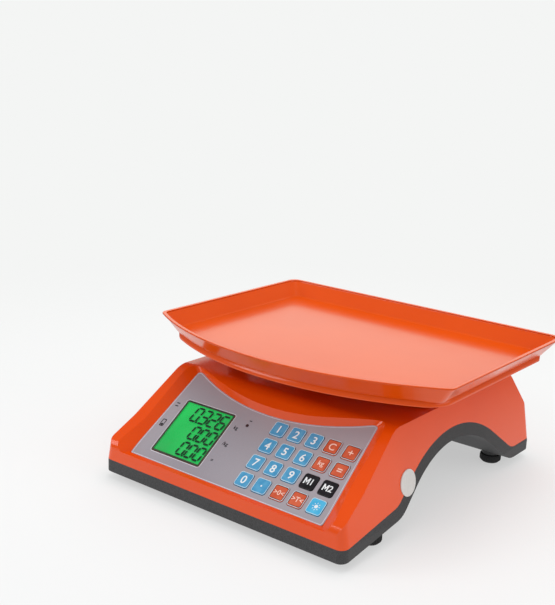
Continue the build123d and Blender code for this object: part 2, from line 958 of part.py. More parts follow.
def make_tray():
    wall_top = tray_top - tray_rim_height
    lean = tray_wall_run / (wall_top - tray_underside)
    inner_top_inset = tray_rim + tray_wall
    inner_foot_inset = inner_top_inset + lean * (wall_top - tray_floor)
    outer = flared(tray_underside, tray_wall_run + tray_rim, wall_top, tray_rim)
    inner = flared(tray_floor, inner_foot_inset, wall_top, inner_top_inset)
    tray = outer - inner
    tray = tray + tray_ring(
        0.0, tray_rim + tray_wall, wall_top, tray_top, tray_front_radius, tray_rear_radius
    )
    skirt_top = tray_floor + bite
    skirt = tray_ring(
        skirt_inset, tray_wall, skirt_bottom, skirt_top, skirt_front_radius, skirt_rear_radius
    )
    tray = tray + (skirt - inner)
    for x, y in spider_places:
        ring = pad_diameter + 2 * pad_ring_gap
        ring_low = tray_underside - pad_ring_height
        outer_ring = upright(x, y, ring + 2 * pad_ring_wall, ring_low, tray_floor - bite)
        bore = upright(x, y, ring, ring_low - bite, tray_underside)
        tray = tray + (outer_ring - bore)
    return tray


# ---------------------------------------------------------------- load path
def cell_bolts(x):
    return [(x + side * cell_bolt_pitch / 2, cell_y) for side in (-1, 1)]


def drilled(shape, places, diameter):
    """The same shape with upright clearance holes."""
    for x, y in places:
        shape = shape - upright(x, y, diameter, 0, tall)
    return shape


def make_chassis():
    plate = block(
        0, cell_y, chassis_length, chassis_width, chassis_bottom, chassis_top, chassis_radius
    )
    plate = drilled(plate, chassis_screws(), housing_screw + 2 * screw_clearance)
    return drilled(plate, cell_bolts(fixed_x), cell_bolt_hole)


def make_fixed_spacer():
    spacer = block(
        fixed_x, cell_y, cell_end, cell_width, chassis_top, cell_bottom, spacer_radius
    )
    return drilled(spacer, cell_bolts(fixed_x), cell_bolt_hole)


def make_load_cell():
    cell = block(0, cell_y, cell_length, cell_width, cell_bottom, cell_top, cell_radius)
    middle = (cell_bottom + cell_top) / 2
    waist = Rot(90, 0, 0) * Cylinder(cell_waist, cell_width + 2 * bite)
    for side in (-1, 1):
        cell = cell - Pos(side * cell_waist_offset, cell_y, middle) * waist
    slot = Box(2 * cell_waist_offset, cell_width + 2 * bite, cell_slot)
    cell = cell - Pos(0, cell_y, middle) * slot
    return drilled(cell, cell_bolts(fixed_x) + cell_bolts(live_x), cell_bolt_hole)


def make_live_spacer():
    spacer = block(live_x, cell_y, cell_end, cell_width, cell_top, spider_bottom, spacer_radius)
    return drilled(spacer, cell_bolts(live_x), cell_bolt_hole)


def make_spider():
    plate_x = 2 * live_x + cell_end
    spider = block(
        0, cell_y, plate_x, spider_plate, spider_bottom, spider_top, spider_radius
    )
    for x, y in spider_places:
        run = hypot(x, y - cell_y)
        turn = degrees(atan2(y - cell_y, x))
        strip = Rectangle(run, spider_arm_width, align=(Align.MIN, Align.CENTER))
        arm = extrude(strip, spider_thickness)
        spider = spider + Pos(0, cell_y, spider_bottom) * Rot(0, 0, turn) * arm
        spider = spider + upright(x, y, pad_diameter + pad_ring_wall, spider_bottom, spider_top)
        spider = spider + upright(x, y, spider_post, spider_bottom, pad_bottom)
    return drilled(spider, cell_bolts(live_x), cell_bolt_hole)


def make_bolt(x, y, seat, head_end, shank_end):
    """Cap bolt with its head between seat and head_end, and its shank to shank_end."""
    head_low, head_high = sorted((seat, head_end))
    shank_low, shank_high = sorted((seat, shank_end))
    head = upright(x, y, cell_bolt_head, head_low, head_high)
    return head + upright(x, y, cell_bolt, shank_low, shank_high)


def make_cell_bolts():
    bolts = []
    for x, y in cell_bolts(fixed_x):
        head_end = cell_top + cell_bolt_head_height
        bolts.append(make_bolt(x, y, cell_top, head_end, chassis_bottom + cell_bolt_short))
    for x, y in cell_bolts(live_x):
        head_end = spider_top + cell_bolt_head_height
        bolts.append(make_bolt(x, y, spider_top, head_end, cell_bottom + cell_bolt_short))
    return Compound(bolts)


# ---------------------------------------------------------------- feet and battery
def make_foot(x, y):
    """Rubber foot with its threaded stud, as two solids that turn together."""
    stud_bottom = foot_height / 2
    rubber = upright(x, y, foot_diameter, 0.0, foot_height)
    rubber = chamfer(rubber.edges().group_by(Axis.Z)[0], foot_chamfer)
    rubber = fillet(rubber.edges().group_by(Axis.Z)[-1], foot_round)
    rubber = rubber - upright(x, y, foot_stud, stud_bottom, foot_height + 1)
    stud = upright(x, y, foot_stud, stud_bottom, foot_stud_top)
    return Compound([rubber, stud])


def make_battery_box():
    roof_low = rear_floor_top + battery_cell_diameter + door_gap + battery_room
    box = block(
        battery_x,
        battery_y,
        door_x + 2 * battery_wall,
        door_y + 2 * battery_wall,
        rear_floor_top,
        roof_low + battery_wall,
        battery_wall,
    )
    box = box - block(battery_x, battery_y, door_x, door_y, rear_floor_top - bite, roof_low)
    return box - below_seam(floor_drop)


def make_battery_cells():
    cells = []
    axis_z = rear_floor_top + door_gap + battery_cell_diameter / 2
    for side in (-1, 1):
        cell = Cylinder(battery_cell_diameter / 2, battery_cell_length)
        x = battery_x + side * (battery_cell_length + battery_cell_gap) / 2
        cells.append(Pos(x, battery_y, axis_z) * Rot(0, 90, 0) * cell)
    return Compound(cells)


def make_battery_door():
    front = battery_y - door_y / 2 + door_gap
    width = door_x - 2 * door_gap
    plate = block(
        battery_x,
        (front + door_hinge_y) / 2,
        width,
        door_hinge_y - front,
        rear_floor_bottom,
        rear_floor_top,
    )
    plate = plate + door_hinge_bar(base_wall, width)
    plate = plate + door_hinge_bar(door_pin, door_x + 2 * door_pin_length)
    scoop = Pos(battery_x, front, rear_floor_bottom) * Sphere(door_notch)
    notch = scoop & block(battery_x, front, tall, tall, 0, rear_floor_bottom + door_notch_depth)
    return plate - notch


# ---------------------------------------------------------------- rear fittings
def make_switch_housing():
    bezel = Pos(switch_x, rear_y + switch_bezel_thickness / 2, rear_fittings_z) * Box(
        switch_bezel_x, switch_bezel_thickness, switch_bezel_z
    )
    depth = switch_body_depth
    case = Pos(switch_x, rear_y - depth / 2, rear_fittings_z) * Box(
        switch_body_x, depth, switch_body_z
    )
    room = Pos(switch_x, rear_y - depth / 2 + 2 * switch_wall, rear_fittings_z) * Box(
        switch_body_x - 2 * switch_wall, depth + switch_wall, switch_body_z - 2 * switch_wall
    )
    pivot = Cylinder(rocker_pin / 2 + rocker_pin_fit, switch_body_z - switch_wall)
    return bezel + case - room - Pos(switch_x, rocker_y, rear_fittings_z) * pivot


def make_rocker():
    """Rocker that turns about an upright pin, here with its left half pressed in."""
    width = switch_body_z - 2 * switch_wall - 2 * rocker_gap
    radius = (switch_body_x - 2 * switch_wall) / 2 - rocker_gap
    drum = Cylinder(radius, width)
    front = Pos(0, rocker_depth + rear_proud, 0) * Box(
        4 * radius, 2 * radius, 2 * width, align=(Align.CENTER, Align.MIN, Align.CENTER)
    )
    drum = drum - Rot(0, 0, switch_throw / 2) * front - Rot(0, 0, -switch_throw / 2) * front
    back = Box(4 * radius, 2 * radius, 2 * width, align=(Align.CENTER, Align.MAX, Align.CENTER))
    drum = drum - Pos(0, -rocker_pin, 0) * back
    pin = Cylinder(rocker_pin / 2, switch_body_z - switch_wall - rocker_gap)
    rocker = Rot(0, 0, -switch_throw / 2) * (drum + pin)
    return Pos(switch_x, rocker_y, rear_fittings_z) * rocker


def make_charger_socket():
    flange = rear_wall_bar(socket_x, socket_flange, 0.0, socket_flange_thickness)
    body = rear_wall_bar(socket_x, socket_body, -socket_depth, 0.0)
    mouth = socket_flange_thickness + bite
    bore = rear_wall_bar(socket_x, socket_bore, -socket_bore_depth, mouth)
    pin = rear_wall_bar(
        socket_x, socket_pin, -socket_bore_depth, -socket_bore_depth + socket_pin_length
    )
    return flange + body - bore + pin


# ---------------------------------------------------------------- bubble level and seal
def level_bar(diameter, low, high):
    return upright(level_x, level_y, diameter, low, high)


def make_level_cup():
    low = body_top - level_depth
    high = body_top + level_flange_thickness
    cup = level_bar(level_flange, body_top, high) + level_bar(level_diameter, low, body_top)
    return cup - level_bar(level_diameter - 2 * level_wall, low + level_wall, high + bite)


def make_level_vial():
    low = body_top - level_depth + level_wall
    high = body_top + level_flange_thickness
    vial = level_bar(level_diameter - 2 * level_wall, low, high)
    return fillet(vial.edges().group_by(Axis.Z)[-1], level_wall)


def make_seal():
    disc = Rot(0, 90 - side_lean, 0) * Cylinder(
        seal_diameter / 2, seal_thickness, align=(Align.CENTER, Align.CENTER, Align.MIN)
    )
    crest_z = arch_top - arch_radius + arch_radius / cos(radians(arch_slope))
    seam_z = crest_z - (arch_centre_y - seal_y) * tan(radians(arch_slope))
    seal_z = seam_z + seal_above_seam
    return Pos(leaning_half(seal_z), seal_y, seal_z) * disc


# ---------------------------------------------------------------- main board
def make_main_board():
    top = main_board_z + board_thickness
    board = block(
        0, main_board_centre_y, main_board_x, main_board_y, main_board_z, top, board_radius
    )
    return drilled(board, main_board_posts, small_screw + 2 * screw_clearance)


def make_board_parts():
    """Chips, connectors and round parts standing on the main board."""
    low = main_board_z + board_thickness
    y = main_board_centre_y
    parts = [block(x, y + dy, sx, sy, low, low + sz) for x, dy, sx, sy, sz in board_boxes]
    parts += [upright(x, y + dy, width, low, low + sz) for x, dy, width, sz in board_rounds]
    return Compound(parts)


def make_main_board_screw(x, y):
    seat = main_board_z + board_thickness
    head = upright(x, y, small_screw_head, seat, seat + small_screw_head_height)
    return head + upright(x, y, small_screw, main_board_z - small_screw_bite, seat)


def make_housing_screw(x, y):
    seat = housing_seat(x, y)
    head = upright(x, y, housing_screw_head, seat - housing_screw_head_height, seat)
    return head + upright(x, y, housing_screw, seat, housing_split + housing_screw_bite)


def make_chassis_screw(x, y):
    head_top = chassis_top + chassis_screw_head_height
    head = upright(x, y, housing_screw_head, chassis_top, head_top)
    low = chassis_bottom - chassis_screw_bite
    return head + upright(x, y, housing_screw, low, chassis_top)


# ---------------------------------------------------------------- write the parts
key_names = [
    ["key_0", "key_point", "key_zero", "key_tare", "key_light"],
    ["key_7", "key_8", "key_9", "key_memory_1", "key_memory_2"],
    ["key_4", "key_5", "key_6", "key_unit", "key_change"],
    ["key_1", "key_2", "key_3", "key_clear", "key_add"],
]

save("upper_shell", make_upper_shell())
save("lower_shell", make_lower_shell())
save("console_overlay", make_console_overlay())
for column, row in all_keys():
    save(key_names[row][column], make_key(column, row))
save("key_mat", make_key_mat())
save("console_board", make_console_board())

backlight_x = lcd_x - lcd_border
backlight_s = lcd_s - lcd_border
save("display_lens", front_display_block(lens_x, lens_s, 0.0, lens_thickness, lens_radius))
save("display_lcd", front_display_block(lcd_x, lcd_s, -lcd_thickness, 0.0, view_radius))
save(
    "display_backlight",
    front_display_block(backlight_x, backlight_s, -console_board_depth, -lcd_thickness),
)
save("charge_led", make_led())

rear_light_x = rear_lcd_x - lcd_border
rear_light_s = rear_lcd_s - lcd_border
save("rear_overlay", make_rear_overlay())
save("rear_lens", rear_block(0, 0, rear_lens_x, rear_lens_s, 0.0, lens_thickness, lens_radius))
save("rear_lcd", rear_block(0, 0, rear_lcd_x, rear_lcd_s, -lcd_thickness, 0.0, view_radius))
save(
    "rear_backlight",
    rear_block(0, 0, rear_light_x, rear_light_s, -rear_board_depth, -lcd_thickness),
)
save("rear_board", make_rear_board())

save("weighing_tray", make_tray())
save("chassis_plate", make_chassis())
save("chassis_screws", Compound([make_chassis_screw(x, y) for x, y in chassis_screws()]))
save("cell_spacer", make_fixed_spacer())
save("load_cell", make_load_cell())
save("live_spacer", make_live_spacer())
save("spider", make_spider())
save("cell_bolts", make_cell_bolts())
pads = [upright(x, y, pad_diameter, pad_bottom, pad_top) for x, y in spider_places]
save("tray_pads", Compound(pads))

for corner, (x, y) in foot_places.items():
    save("foot_" + corner, make_foot(x, y))
save("housing_screws", Compound([make_housing_screw(x, y) for x, y in housing_screws_at]))
save("battery_box", make_battery_box())
save("battery_cells", make_battery_cells())
save("battery_door", make_battery_door())
save("switch_housing", make_switch_housing())
save("power_rocker", make_rocker())
save("charger_socket", make_charger_socket())
save("level_cup", make_level_cup())
save("level_vial", make_level_vial())
save("inspection_seal", make_seal())

board_screws = [make_console_screw(x, s) for x, s in console_posts]
board_screws += [make_rear_screw(x, s) for x, s in rear_posts]
board_screws += [make_main_board_screw(x, y) for x, y in main_board_posts]
save("main_board", make_main_board())
save("main_board_parts", make_board_parts())
save("board_screws", Compound(board_screws))
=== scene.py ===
# %% [markdown]
# # A price-computing shop scale
#
# This lesson dresses a finished mechanical model of a counter scale. The model brings
# every body, hinge and screw in its true place, so nothing is measured again here: each
# new piece finds its place from the model's own boxes and joints. The work left for
# Blender is what the eye judges: gloss, print, digits, legends, light and camera.

# %% Load the mechanical model
import json
from math import atan2, cos, degrees, pi, radians, sin, tan, tau

import bmesh
import bpy
from mathutils import Matrix, Vector


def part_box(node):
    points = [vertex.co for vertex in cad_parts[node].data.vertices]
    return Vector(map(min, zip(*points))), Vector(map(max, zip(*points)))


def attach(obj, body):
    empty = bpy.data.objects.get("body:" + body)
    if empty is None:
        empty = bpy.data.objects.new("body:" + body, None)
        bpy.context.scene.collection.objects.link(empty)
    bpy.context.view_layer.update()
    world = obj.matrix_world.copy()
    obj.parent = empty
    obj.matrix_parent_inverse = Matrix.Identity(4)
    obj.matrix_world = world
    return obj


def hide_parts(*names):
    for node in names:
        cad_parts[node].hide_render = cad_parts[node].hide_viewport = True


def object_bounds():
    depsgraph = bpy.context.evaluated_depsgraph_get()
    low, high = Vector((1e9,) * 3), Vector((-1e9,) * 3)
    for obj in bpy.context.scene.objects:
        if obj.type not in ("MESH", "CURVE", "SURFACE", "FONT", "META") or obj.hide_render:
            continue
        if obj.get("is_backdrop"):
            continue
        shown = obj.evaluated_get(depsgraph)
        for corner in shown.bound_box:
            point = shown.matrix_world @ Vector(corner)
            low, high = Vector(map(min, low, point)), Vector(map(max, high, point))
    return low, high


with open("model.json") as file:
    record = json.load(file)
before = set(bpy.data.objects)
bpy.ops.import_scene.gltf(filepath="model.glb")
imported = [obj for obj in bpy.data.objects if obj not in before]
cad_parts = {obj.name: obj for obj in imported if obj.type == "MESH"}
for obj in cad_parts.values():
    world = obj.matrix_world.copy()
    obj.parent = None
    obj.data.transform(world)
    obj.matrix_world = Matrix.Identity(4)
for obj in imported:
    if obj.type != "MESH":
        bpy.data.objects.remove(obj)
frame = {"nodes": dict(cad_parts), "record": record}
cad_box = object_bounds()
scene = bpy.context.scene
nodes = frame["nodes"]
slot_of = {part["node"]: part["material_slot"] for part in frame["record"]["subparts"]}

# %% [markdown]
# ## Where things are
#
# The console is a sloping plane, and its keys are pressed square to it. The broad face of
# the display's lens gives the plane's direction. A print can then be laid out flat, with x
# across, y up the slope and z out of the surface, and carried onto the console by one
# matrix. The customer's display at the back is found in the same way, from the broad face
# of its lens.

# %% Places worked out from the model
MM = 0.001
ACROSS = Vector((1, 0, 0))


def node_box(name):
    """Lowest corner, highest corner, middle and size of a node of the model."""
    low, high = (Vector(corner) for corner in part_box(name))
    return low, high, (low + high) / 2, high - low


def top_of(name, out):
    """Middle of the side of a node that faces the direction out."""
    middle = node_box(name)[2]
    reach = max(vertex.co.dot(out) for vertex in nodes[name].data.vertices)
    return middle + out * (reach - middle.dot(out))


def broad_direction(name):
    """Direction of a slab's broad upper face."""
    sums = {}
    for face in nodes[name].data.polygons:
        if face.normal.z > 0:
            key = tuple(round(part, 3) for part in face.normal)
            sums[key] = sums.get(key, Vector()) + face.normal * face.area
    return max(sums.values(), key=lambda total: total.length).normalized()


def layout_matrix(origin, out, across):
    """Carries a flat layout to a plane that faces out."""
    turn = Matrix((across, out.cross(across), out)).transposed()
    return Matrix.Translation(origin) @ turn.to_4x4()


console_out = broad_direction("display_lens")
rear_out = broad_direction("rear_lens")
print("console tilt", round(degrees(console_out.angle(Vector((0, 0, 1)))), 2))
print("rear display tilt", round(degrees(rear_out.angle(Vector((0, 0, 1)))), 2))

# %% [markdown]
# ## Shader sums as plain arithmetic
#
# A finish is a little graph of nodes. Written link by link it is long and hard to read,
# so one small class wraps an output socket and lets sums be written as sums. Everything
# that isn't a sum comes from one method, which makes a node, sets it and feeds it.

# %% A socket that can be added and multiplied


class Wire:
    """An output socket of a shader graph that takes part in arithmetic."""

    def __init__(self, graph, socket):
        self.graph = graph
        self.socket = socket

    def sum_node(self, operation, first, second):
        inputs = {0: first, 1: second}
        return self.graph.node("ShaderNodeMath", inputs, operation=operation)

    def __add__(self, other):
        return self.sum_node("ADD", self, other)

    def __radd__(self, other):
        return self.sum_node("ADD", other, self)

    def __sub__(self, other):
        return self.sum_node("SUBTRACT", self, other)

    def __rsub__(self, other):
        return self.sum_node("SUBTRACT", other, self)

    def __mul__(self, other):
        return self.sum_node("MULTIPLY", self, other)

    def __rmul__(self, other):
        return self.sum_node("MULTIPLY", other, self)


class Graph:
    """The node graph of one finish."""

    def __init__(self, tree):
        self.tree = tree

    def node(self, kind, inputs=None, output=0, stops=None, **settings):
        """Makes a node, sets it, feeds its sockets and hands back one output, if any."""
        made = self.tree.nodes.new(kind)
        for name, value in settings.items():
            setattr(made, name, value)
        if stops:
            ramp = made.color_ramp
            while len(ramp.elements) < len(stops):
                ramp.elements.new(0.5)
            for element, (place, colour) in zip(ramp.elements, stops):
                element.position = place
                element.color = colour
        for name, value in (inputs or {}).items():
            if isinstance(value, Wire):
                self.tree.links.new(value.socket, made.inputs[name])
            else:
                made.inputs[name].default_value = value
        return None if output is None else Wire(self, made.outputs[output])

    def place(self):
        """Object coordinates, so that a pattern stays put when a piece moves."""
        return self.node("ShaderNodeTexCoord", output="Object")

    def noise(self, scale, detail=2.0, roughness=0.5):
        """Soft noise from 0 to 1, with its scale in cells per metre."""
        inputs = {"Vector": self.place(), "Scale": scale, "Detail": detail, "Roughness": roughness}
        return self.node("ShaderNodeTexNoise", inputs)

    def blend(self, share, first, second):
        """Mix of two colours by a share from 0 to 1."""
        return self.node("ShaderNodeMix", {0: share, 6: first, 7: second}, output=2, data_type="RGBA")

    def ramp(self, share, *stops):
        """Number from 0 to 1 spread over the places and values of some stops."""
        grey = [(place, (value, value, value, 1.0)) for place, value in stops]
        return self.node("ShaderNodeValToRGB", {"Fac": share}, stops=grey)

    def bump(self, height, strength, distance):
        inputs = {"Height": height, "Strength": strength, "Distance": distance}
        return self.node("ShaderNodeBump", inputs, output="Normal")


def colour(red, green, blue):
    """Linear colour from screen values of 0 to 255."""
    def linear(value):
        share = value / 255
        return share / 12.92 if share <= 0.04045 else ((share + 0.055) / 1.055) ** 2.4
    return (linear(red), linear(green), linear(blue), 1.0)


def new_finish(name, **constants):
    """A material with one Principled shader, whose constants are set straight on it."""
    material = bpy.data.materials.new(name)
    material.use_nodes = True
    shader = material.node_tree.nodes["Principled BSDF"]
    for socket, value in constants.items():
        shader.inputs[socket.replace("_", " ")].default_value = value
    return material, Graph(material.node_tree), shader


def feed(graph, shader, **wires):
    """Links wires to the shader's sockets."""
    for socket, wire in wires.items():
        graph.tree.links.new(wire.socket, shader.inputs[socket.replace("_", " ")])


print("shader sums ready")

# %% [markdown]
# ## Moulded plastic
#
# The shells and the tray are moulded in bright orange ABS. Such a surface is never quite
# even: the melt leaves faint clouds of colour, the mould leaves a very fine ripple that
# breaks up reflections, and handling dulls the gloss here and there. Three noises at
# three sizes give that. The grey lower shell has a spark-eroded grain instead, which is
# much coarser and takes the shine away.

# %% Orange and grey plastic


def moulded(name, deep, bright, gloss, dull, grain, grain_depth, cloud=9.0):
    """Plastic whose colour clouds, gloss and grain each vary at their own size."""
    material, graph, shader = new_finish(
        name, Coat_Weight=0.12, Coat_Roughness=0.08, Specular_IOR_Level=0.4
    )
    clouds = graph.ramp(graph.noise(cloud, 3.0), (0.3, 0.0), (0.7, 1.0))
    wear = graph.ramp(graph.noise(cloud * 6, 4.0, 0.6), (0.35, 0.0), (0.75, 1.0))
    fine = graph.noise(grain, 3.0, 0.6)
    base = graph.blend(clouds, colour(*deep), colour(*bright))
    feed(
        graph, shader,
        Base_Color=base,
        Roughness=gloss + wear * (dull - gloss) + fine * 0.04,
        Normal=graph.bump(fine, 0.35, grain_depth),
    )
    return material


shell_orange = moulded("shell_orange", (229, 74, 4), (235, 79, 6), 0.14, 0.17, 900.0, 0.000006)
tray_orange = moulded("tray_orange", (227, 80, 5), (233, 85, 7), 0.17, 0.2, 800.0, 0.000006)
print("moulded", shell_orange.name, tray_orange.name)


def grained(name, dark, light, gloss, dull, scale, depth):
    """Plastic or rubber with a fine pebble grain and pale specks on its high points."""
    material, graph, shader = new_finish(name)
    pebbles = graph.noise(scale, 6.0, 0.7)
    patches = graph.noise(scale / 60, 3.0)
    specks = graph.ramp(pebbles, (0.35, 0.0), (0.7, 1.0))
    base = graph.blend(specks * 0.75 + patches * 0.25, colour(*dark), colour(*light))
    feed(
        graph, shader,
        Base_Color=base,
        Roughness=gloss + patches * (dull - gloss),
        Normal=graph.bump(pebbles, 0.6, depth),
    )
    return material


shell_grey = grained("shell_grey", (30, 30, 31), (76, 76, 77), 0.5, 0.65, 1100.0, 0.00012)
foot_rubber = grained("foot_rubber", (22, 22, 23), (38, 38, 39), 0.7, 0.85, 700.0, 0.0001)
fitting_black = grained("fitting_black", (20, 20, 21), (34, 34, 36), 0.35, 0.5, 1500.0, 0.00004)
silicone = grained("silicone", (150, 150, 148), (172, 172, 170), 0.6, 0.7, 900.0, 0.00005)
chip_black = grained("chip_black", (24, 24, 25), (44, 44, 45), 0.5, 0.6, 1800.0, 0.00004)
print("grained", shell_grey.name, foot_rubber.name, fitting_black.name)

# %% [markdown]
# ## Print, film and windows
#
# The console is covered by one sheet of printed film. Its silver ink holds tiny flakes,
# so it glints a little and shifts from warm to cool across its length. The keys are
# printed under a clear satin skin. The displays are glass cells lit from behind: the
# light comes from the cell itself, a little uneven across it.

# %% Console film and key colours


def printed_film(name, cool, warm, flake):
    """Silver print under a satin skin."""
    material, graph, shader = new_finish(name, Coat_Weight=0.2, Coat_Roughness=0.25)
    drift = graph.ramp(graph.noise(7.0, 1.0), (0.35, 0.0), (0.65, 1.0))
    flakes = graph.noise(3200.0, 2.0, 0.8)
    glints = graph.ramp(flakes, (0.5, 0.0), (0.75, flake))
    base = graph.blend(drift, colour(*cool), colour(*warm))
    bright = graph.blend(glints, base, colour(236, 234, 238))
    feed(
        graph, shader,
        Base_Color=bright,
        Metallic=0.12 + glints,
        Roughness=0.42 - glints,
        Normal=graph.bump(graph.noise(1400.0), 0.2, 0.00003),
    )
    return material


console_silver = printed_film("console_silver", (160, 154, 162), (176, 170, 176), 0.2)


def clear_print(name, deep, bright):
    """Colour under a clear skin, a little uneven, as on a key where fingers fall."""
    material, graph, shader = new_finish(name, Coat_Weight=0.35, Coat_Roughness=0.15)
    uneven = graph.ramp(graph.noise(140.0, 2.0), (0.35, 0.0), (0.65, 1.0))
    base = graph.blend(uneven, colour(*deep), colour(*bright))
    feed(
        graph, shader,
        Base_Color=base,
        Roughness=0.3 + uneven * 0.12,
        Normal=graph.bump(graph.noise(1600.0), 0.15, 0.00003),
    )
    return material


key_blue = clear_print("key_blue", (66, 150, 196), (84, 166, 208))
key_cyan = clear_print("key_cyan", (64, 178, 224), (86, 192, 232))
key_red = clear_print("key_red", (206, 84, 48), (218, 100, 62))
key_black = clear_print("key_black", (12, 12, 16), (22, 22, 28))
print_pale = clear_print("print_pale", (200, 226, 238), (214, 236, 244))
print_white = clear_print("print_white", (232, 238, 240), (244, 248, 248))
print_dark = clear_print("print_dark", (14, 12, 16), (24, 20, 26))
print_peach = clear_print("print_peach", (250, 206, 188), (252, 218, 204))
print_night = clear_print("print_night", (12, 12, 18), (22, 22, 30))
print_olive = clear_print("print_olive", (52, 58, 44), (66, 72, 56))
print_silver = clear_print("print_silver", (212, 208, 216), (222, 218, 226))
print("printed", console_silver.name, key_blue.name, key_red.name)

# %% Display glass, window and indicators


def lit_cell(name, edge, heart, strength):
    """Liquid crystal cell that glows from behind."""
    material, graph, shader = new_finish(name, Emission_Strength=strength)
    pool = graph.ramp(graph.noise(18.0, 1.0), (0.3, 0.0), (0.7, 1.0))
    base = graph.blend(pool, colour(*edge), colour(*heart))
    feed(
        graph, shader,
        Base_Color=base,
        Emission_Color=base,
        Roughness=0.3 + graph.noise(900.0) * 0.1,
        Normal=graph.bump(graph.noise(1100.0), 0.1, 0.00002),
    )
    return material


def clear_window(name, tint, alpha, mark):
    """Thin hard-coated window with faint handling marks."""
    material, graph, shader = new_finish(name, IOR=1.49, Coat_Weight=0.3, Coat_Roughness=0.03)
    smears = graph.ramp(graph.noise(60.0, 4.0, 0.6), (0.45, 0.0), (0.7, mark))
    base = graph.blend(smears, colour(*tint), colour(236, 240, 238))
    feed(graph, shader, Base_Color=base, Alpha=alpha + smears, Roughness=0.06 + smears)
    return material


lcd_green = lit_cell("lcd_green", (0, 150, 62), (0, 176, 74), 0.55)
window_clear = clear_window("window_clear", (150, 210, 170), 0.05, 0.04)
level_fluid = clear_window("level_fluid", (170, 210, 60), 0.8, 0.04)
led_red = clear_print("led_red", (40, 14, 16), (64, 20, 22))
print("lit", lcd_green.name, window_clear.name)

# %% [markdown]
# ## Metal and boards
#
# Rolled and machined metal shows fine lines along the way it was worked. Noise that is
# stretched along one direction does that, and the same lines steer the roughness.

# %% Metals, circuit board and the seal


def worked_metal(name, dark, light, stretch, gloss, dull, metallic=1.0):
    """Metal with lines along the way it was rolled or cut."""
    material, graph, shader = new_finish(name)
    scale = {"Vector": graph.place(), "Scale": stretch}
    grain_space = graph.node("ShaderNodeMapping", scale, vector_type="POINT")
    inputs = {"Vector": grain_space, "Scale": 260.0, "Detail": 4.0, "Roughness": 0.6}
    lines = graph.node("ShaderNodeTexNoise", inputs)
    base = graph.blend(lines, colour(*dark), colour(*light))
    feed(
        graph, shader,
        Base_Color=base,
        Metallic=metallic - lines * 0.05,
        Roughness=gloss + lines * (dull - gloss),
        Normal=graph.bump(lines, 0.15, 0.00004),
    )
    return material


screw_steel = worked_metal("screw_steel", (150, 151, 152), (196, 197, 198), (4.0, 4.0, 1.0), 0.25, 0.42)
plate_zinc = worked_metal("plate_zinc", (150, 154, 158), (186, 190, 194), (1.0, 8.0, 8.0), 0.35, 0.5)
milled_alloy = worked_metal("milled_alloy", (188, 190, 192), (216, 218, 220), (1.0, 6.0, 6.0), 0.28, 0.42)
cast_alloy = worked_metal("cast_alloy", (112, 114, 116), (146, 148, 150), (2.0, 2.0, 2.0), 0.5, 0.65)
diffuser = grained("diffuser", (206, 216, 206), (226, 234, 226), 0.35, 0.45, 600.0, 0.00003)
board_green = clear_print("board_green", (10, 84, 44), (18, 104, 56))
cell_sleeve = clear_print("cell_sleeve", (24, 90, 156), (38, 110, 176))
seal_film = worked_metal("seal_film", (206, 204, 200), (232, 230, 226), (1.0, 3.0, 1.0), 0.3, 0.45, 0.25)
finishes = {
    "orange_shell": shell_orange,
    "orange_tray": tray_orange,
    "grey_shell": shell_grey,
    "console_film": console_silver,
    "key_blue": key_blue,
    "key_cyan": key_cyan,
    "key_red": key_red,
    "key_black": key_black,
    "silicone": silicone,
    "board_green": board_green,
    "chip_black": chip_black,
    "steel": screw_steel,
    "zinc_steel": plate_zinc,
    "aluminium": milled_alloy,
    "cast_alloy": cast_alloy,
    "clear_window": window_clear,
    "lcd_green": lcd_green,
    "diffuser": diffuser,
    "led_lens": led_red,
    "rubber": foot_rubber,
    "cell_sleeve": cell_sleeve,
    "black_plastic": fitting_black,
    "level_fluid": level_fluid,
    "seal_film": seal_film,
}
for name, node in nodes.items():
    node.data.materials.clear()
    node.data.materials.append(finishes[slot_of[name]])
print("finished", len(nodes), "nodes")

# %% [markdown]
# ## Making and placing small pieces
#
# Every extra piece is made lying flat at the origin, where its sizes are easy to state.
# Then its mesh is carried to its place, so the object itself stays at the origin,
# unturned and unscaled. Each piece names the body it rides on, and a key's legend has to
# ride on its own key, or it would hang in the air when the key is pressed.

# %% Pieces


def new_piece(name, mesh, finish, body):
    """Puts a finished mesh into the scene and fixes it to a body."""
    mesh.materials.clear()
    mesh.materials.append(finish)
    piece = bpy.data.objects.new(name, mesh)
    scene.collection.objects.link(piece)
    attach(piece, body)
    return piece


def ended(name, work):
    """The mesh of a finished bmesh."""
    result = bpy.data.meshes.new(name)
    work.to_mesh(result)
    work.free()
    return result


def joined(name, meshes):
    """One mesh from several."""
    work = bmesh.new()
    for mesh in meshes:
        work.from_mesh(mesh)
    return ended(name, work)


def plate(name, outline, thickness):
    """Flat plate with the given outline, standing on its own plane."""
    work = bmesh.new()
    floor = [work.verts.new((x, y, 0)) for x, y in outline]
    face = work.faces.new(floor)
    lifted = bmesh.ops.extrude_face_region(work, geom=[face])["geom"]
    top = [item for item in lifted if isinstance(item, bmesh.types.BMVert)]
    bmesh.ops.translate(work, vec=(0, 0, thickness), verts=top)
    bmesh.ops.recalc_face_normals(work, faces=work.faces)
    return ended(name, work)


def round_corners(width, height, corner, steps=6):
    """Outline of a rectangle with round corners."""
    outline = []
    for quarter, (side, end) in enumerate(((1, 1), (-1, 1), (-1, -1), (1, -1))):
        for step in range(steps + 1):
            angle = pi / 2 * (quarter + step / steps)
            x = side * (width / 2 - corner) + corner * cos(angle)
            y = end * (height / 2 - corner) + corner * sin(angle)
            outline.append((x, y))
    return outline


def moved(mesh, matrix):
    mesh.transform(matrix)
    return mesh


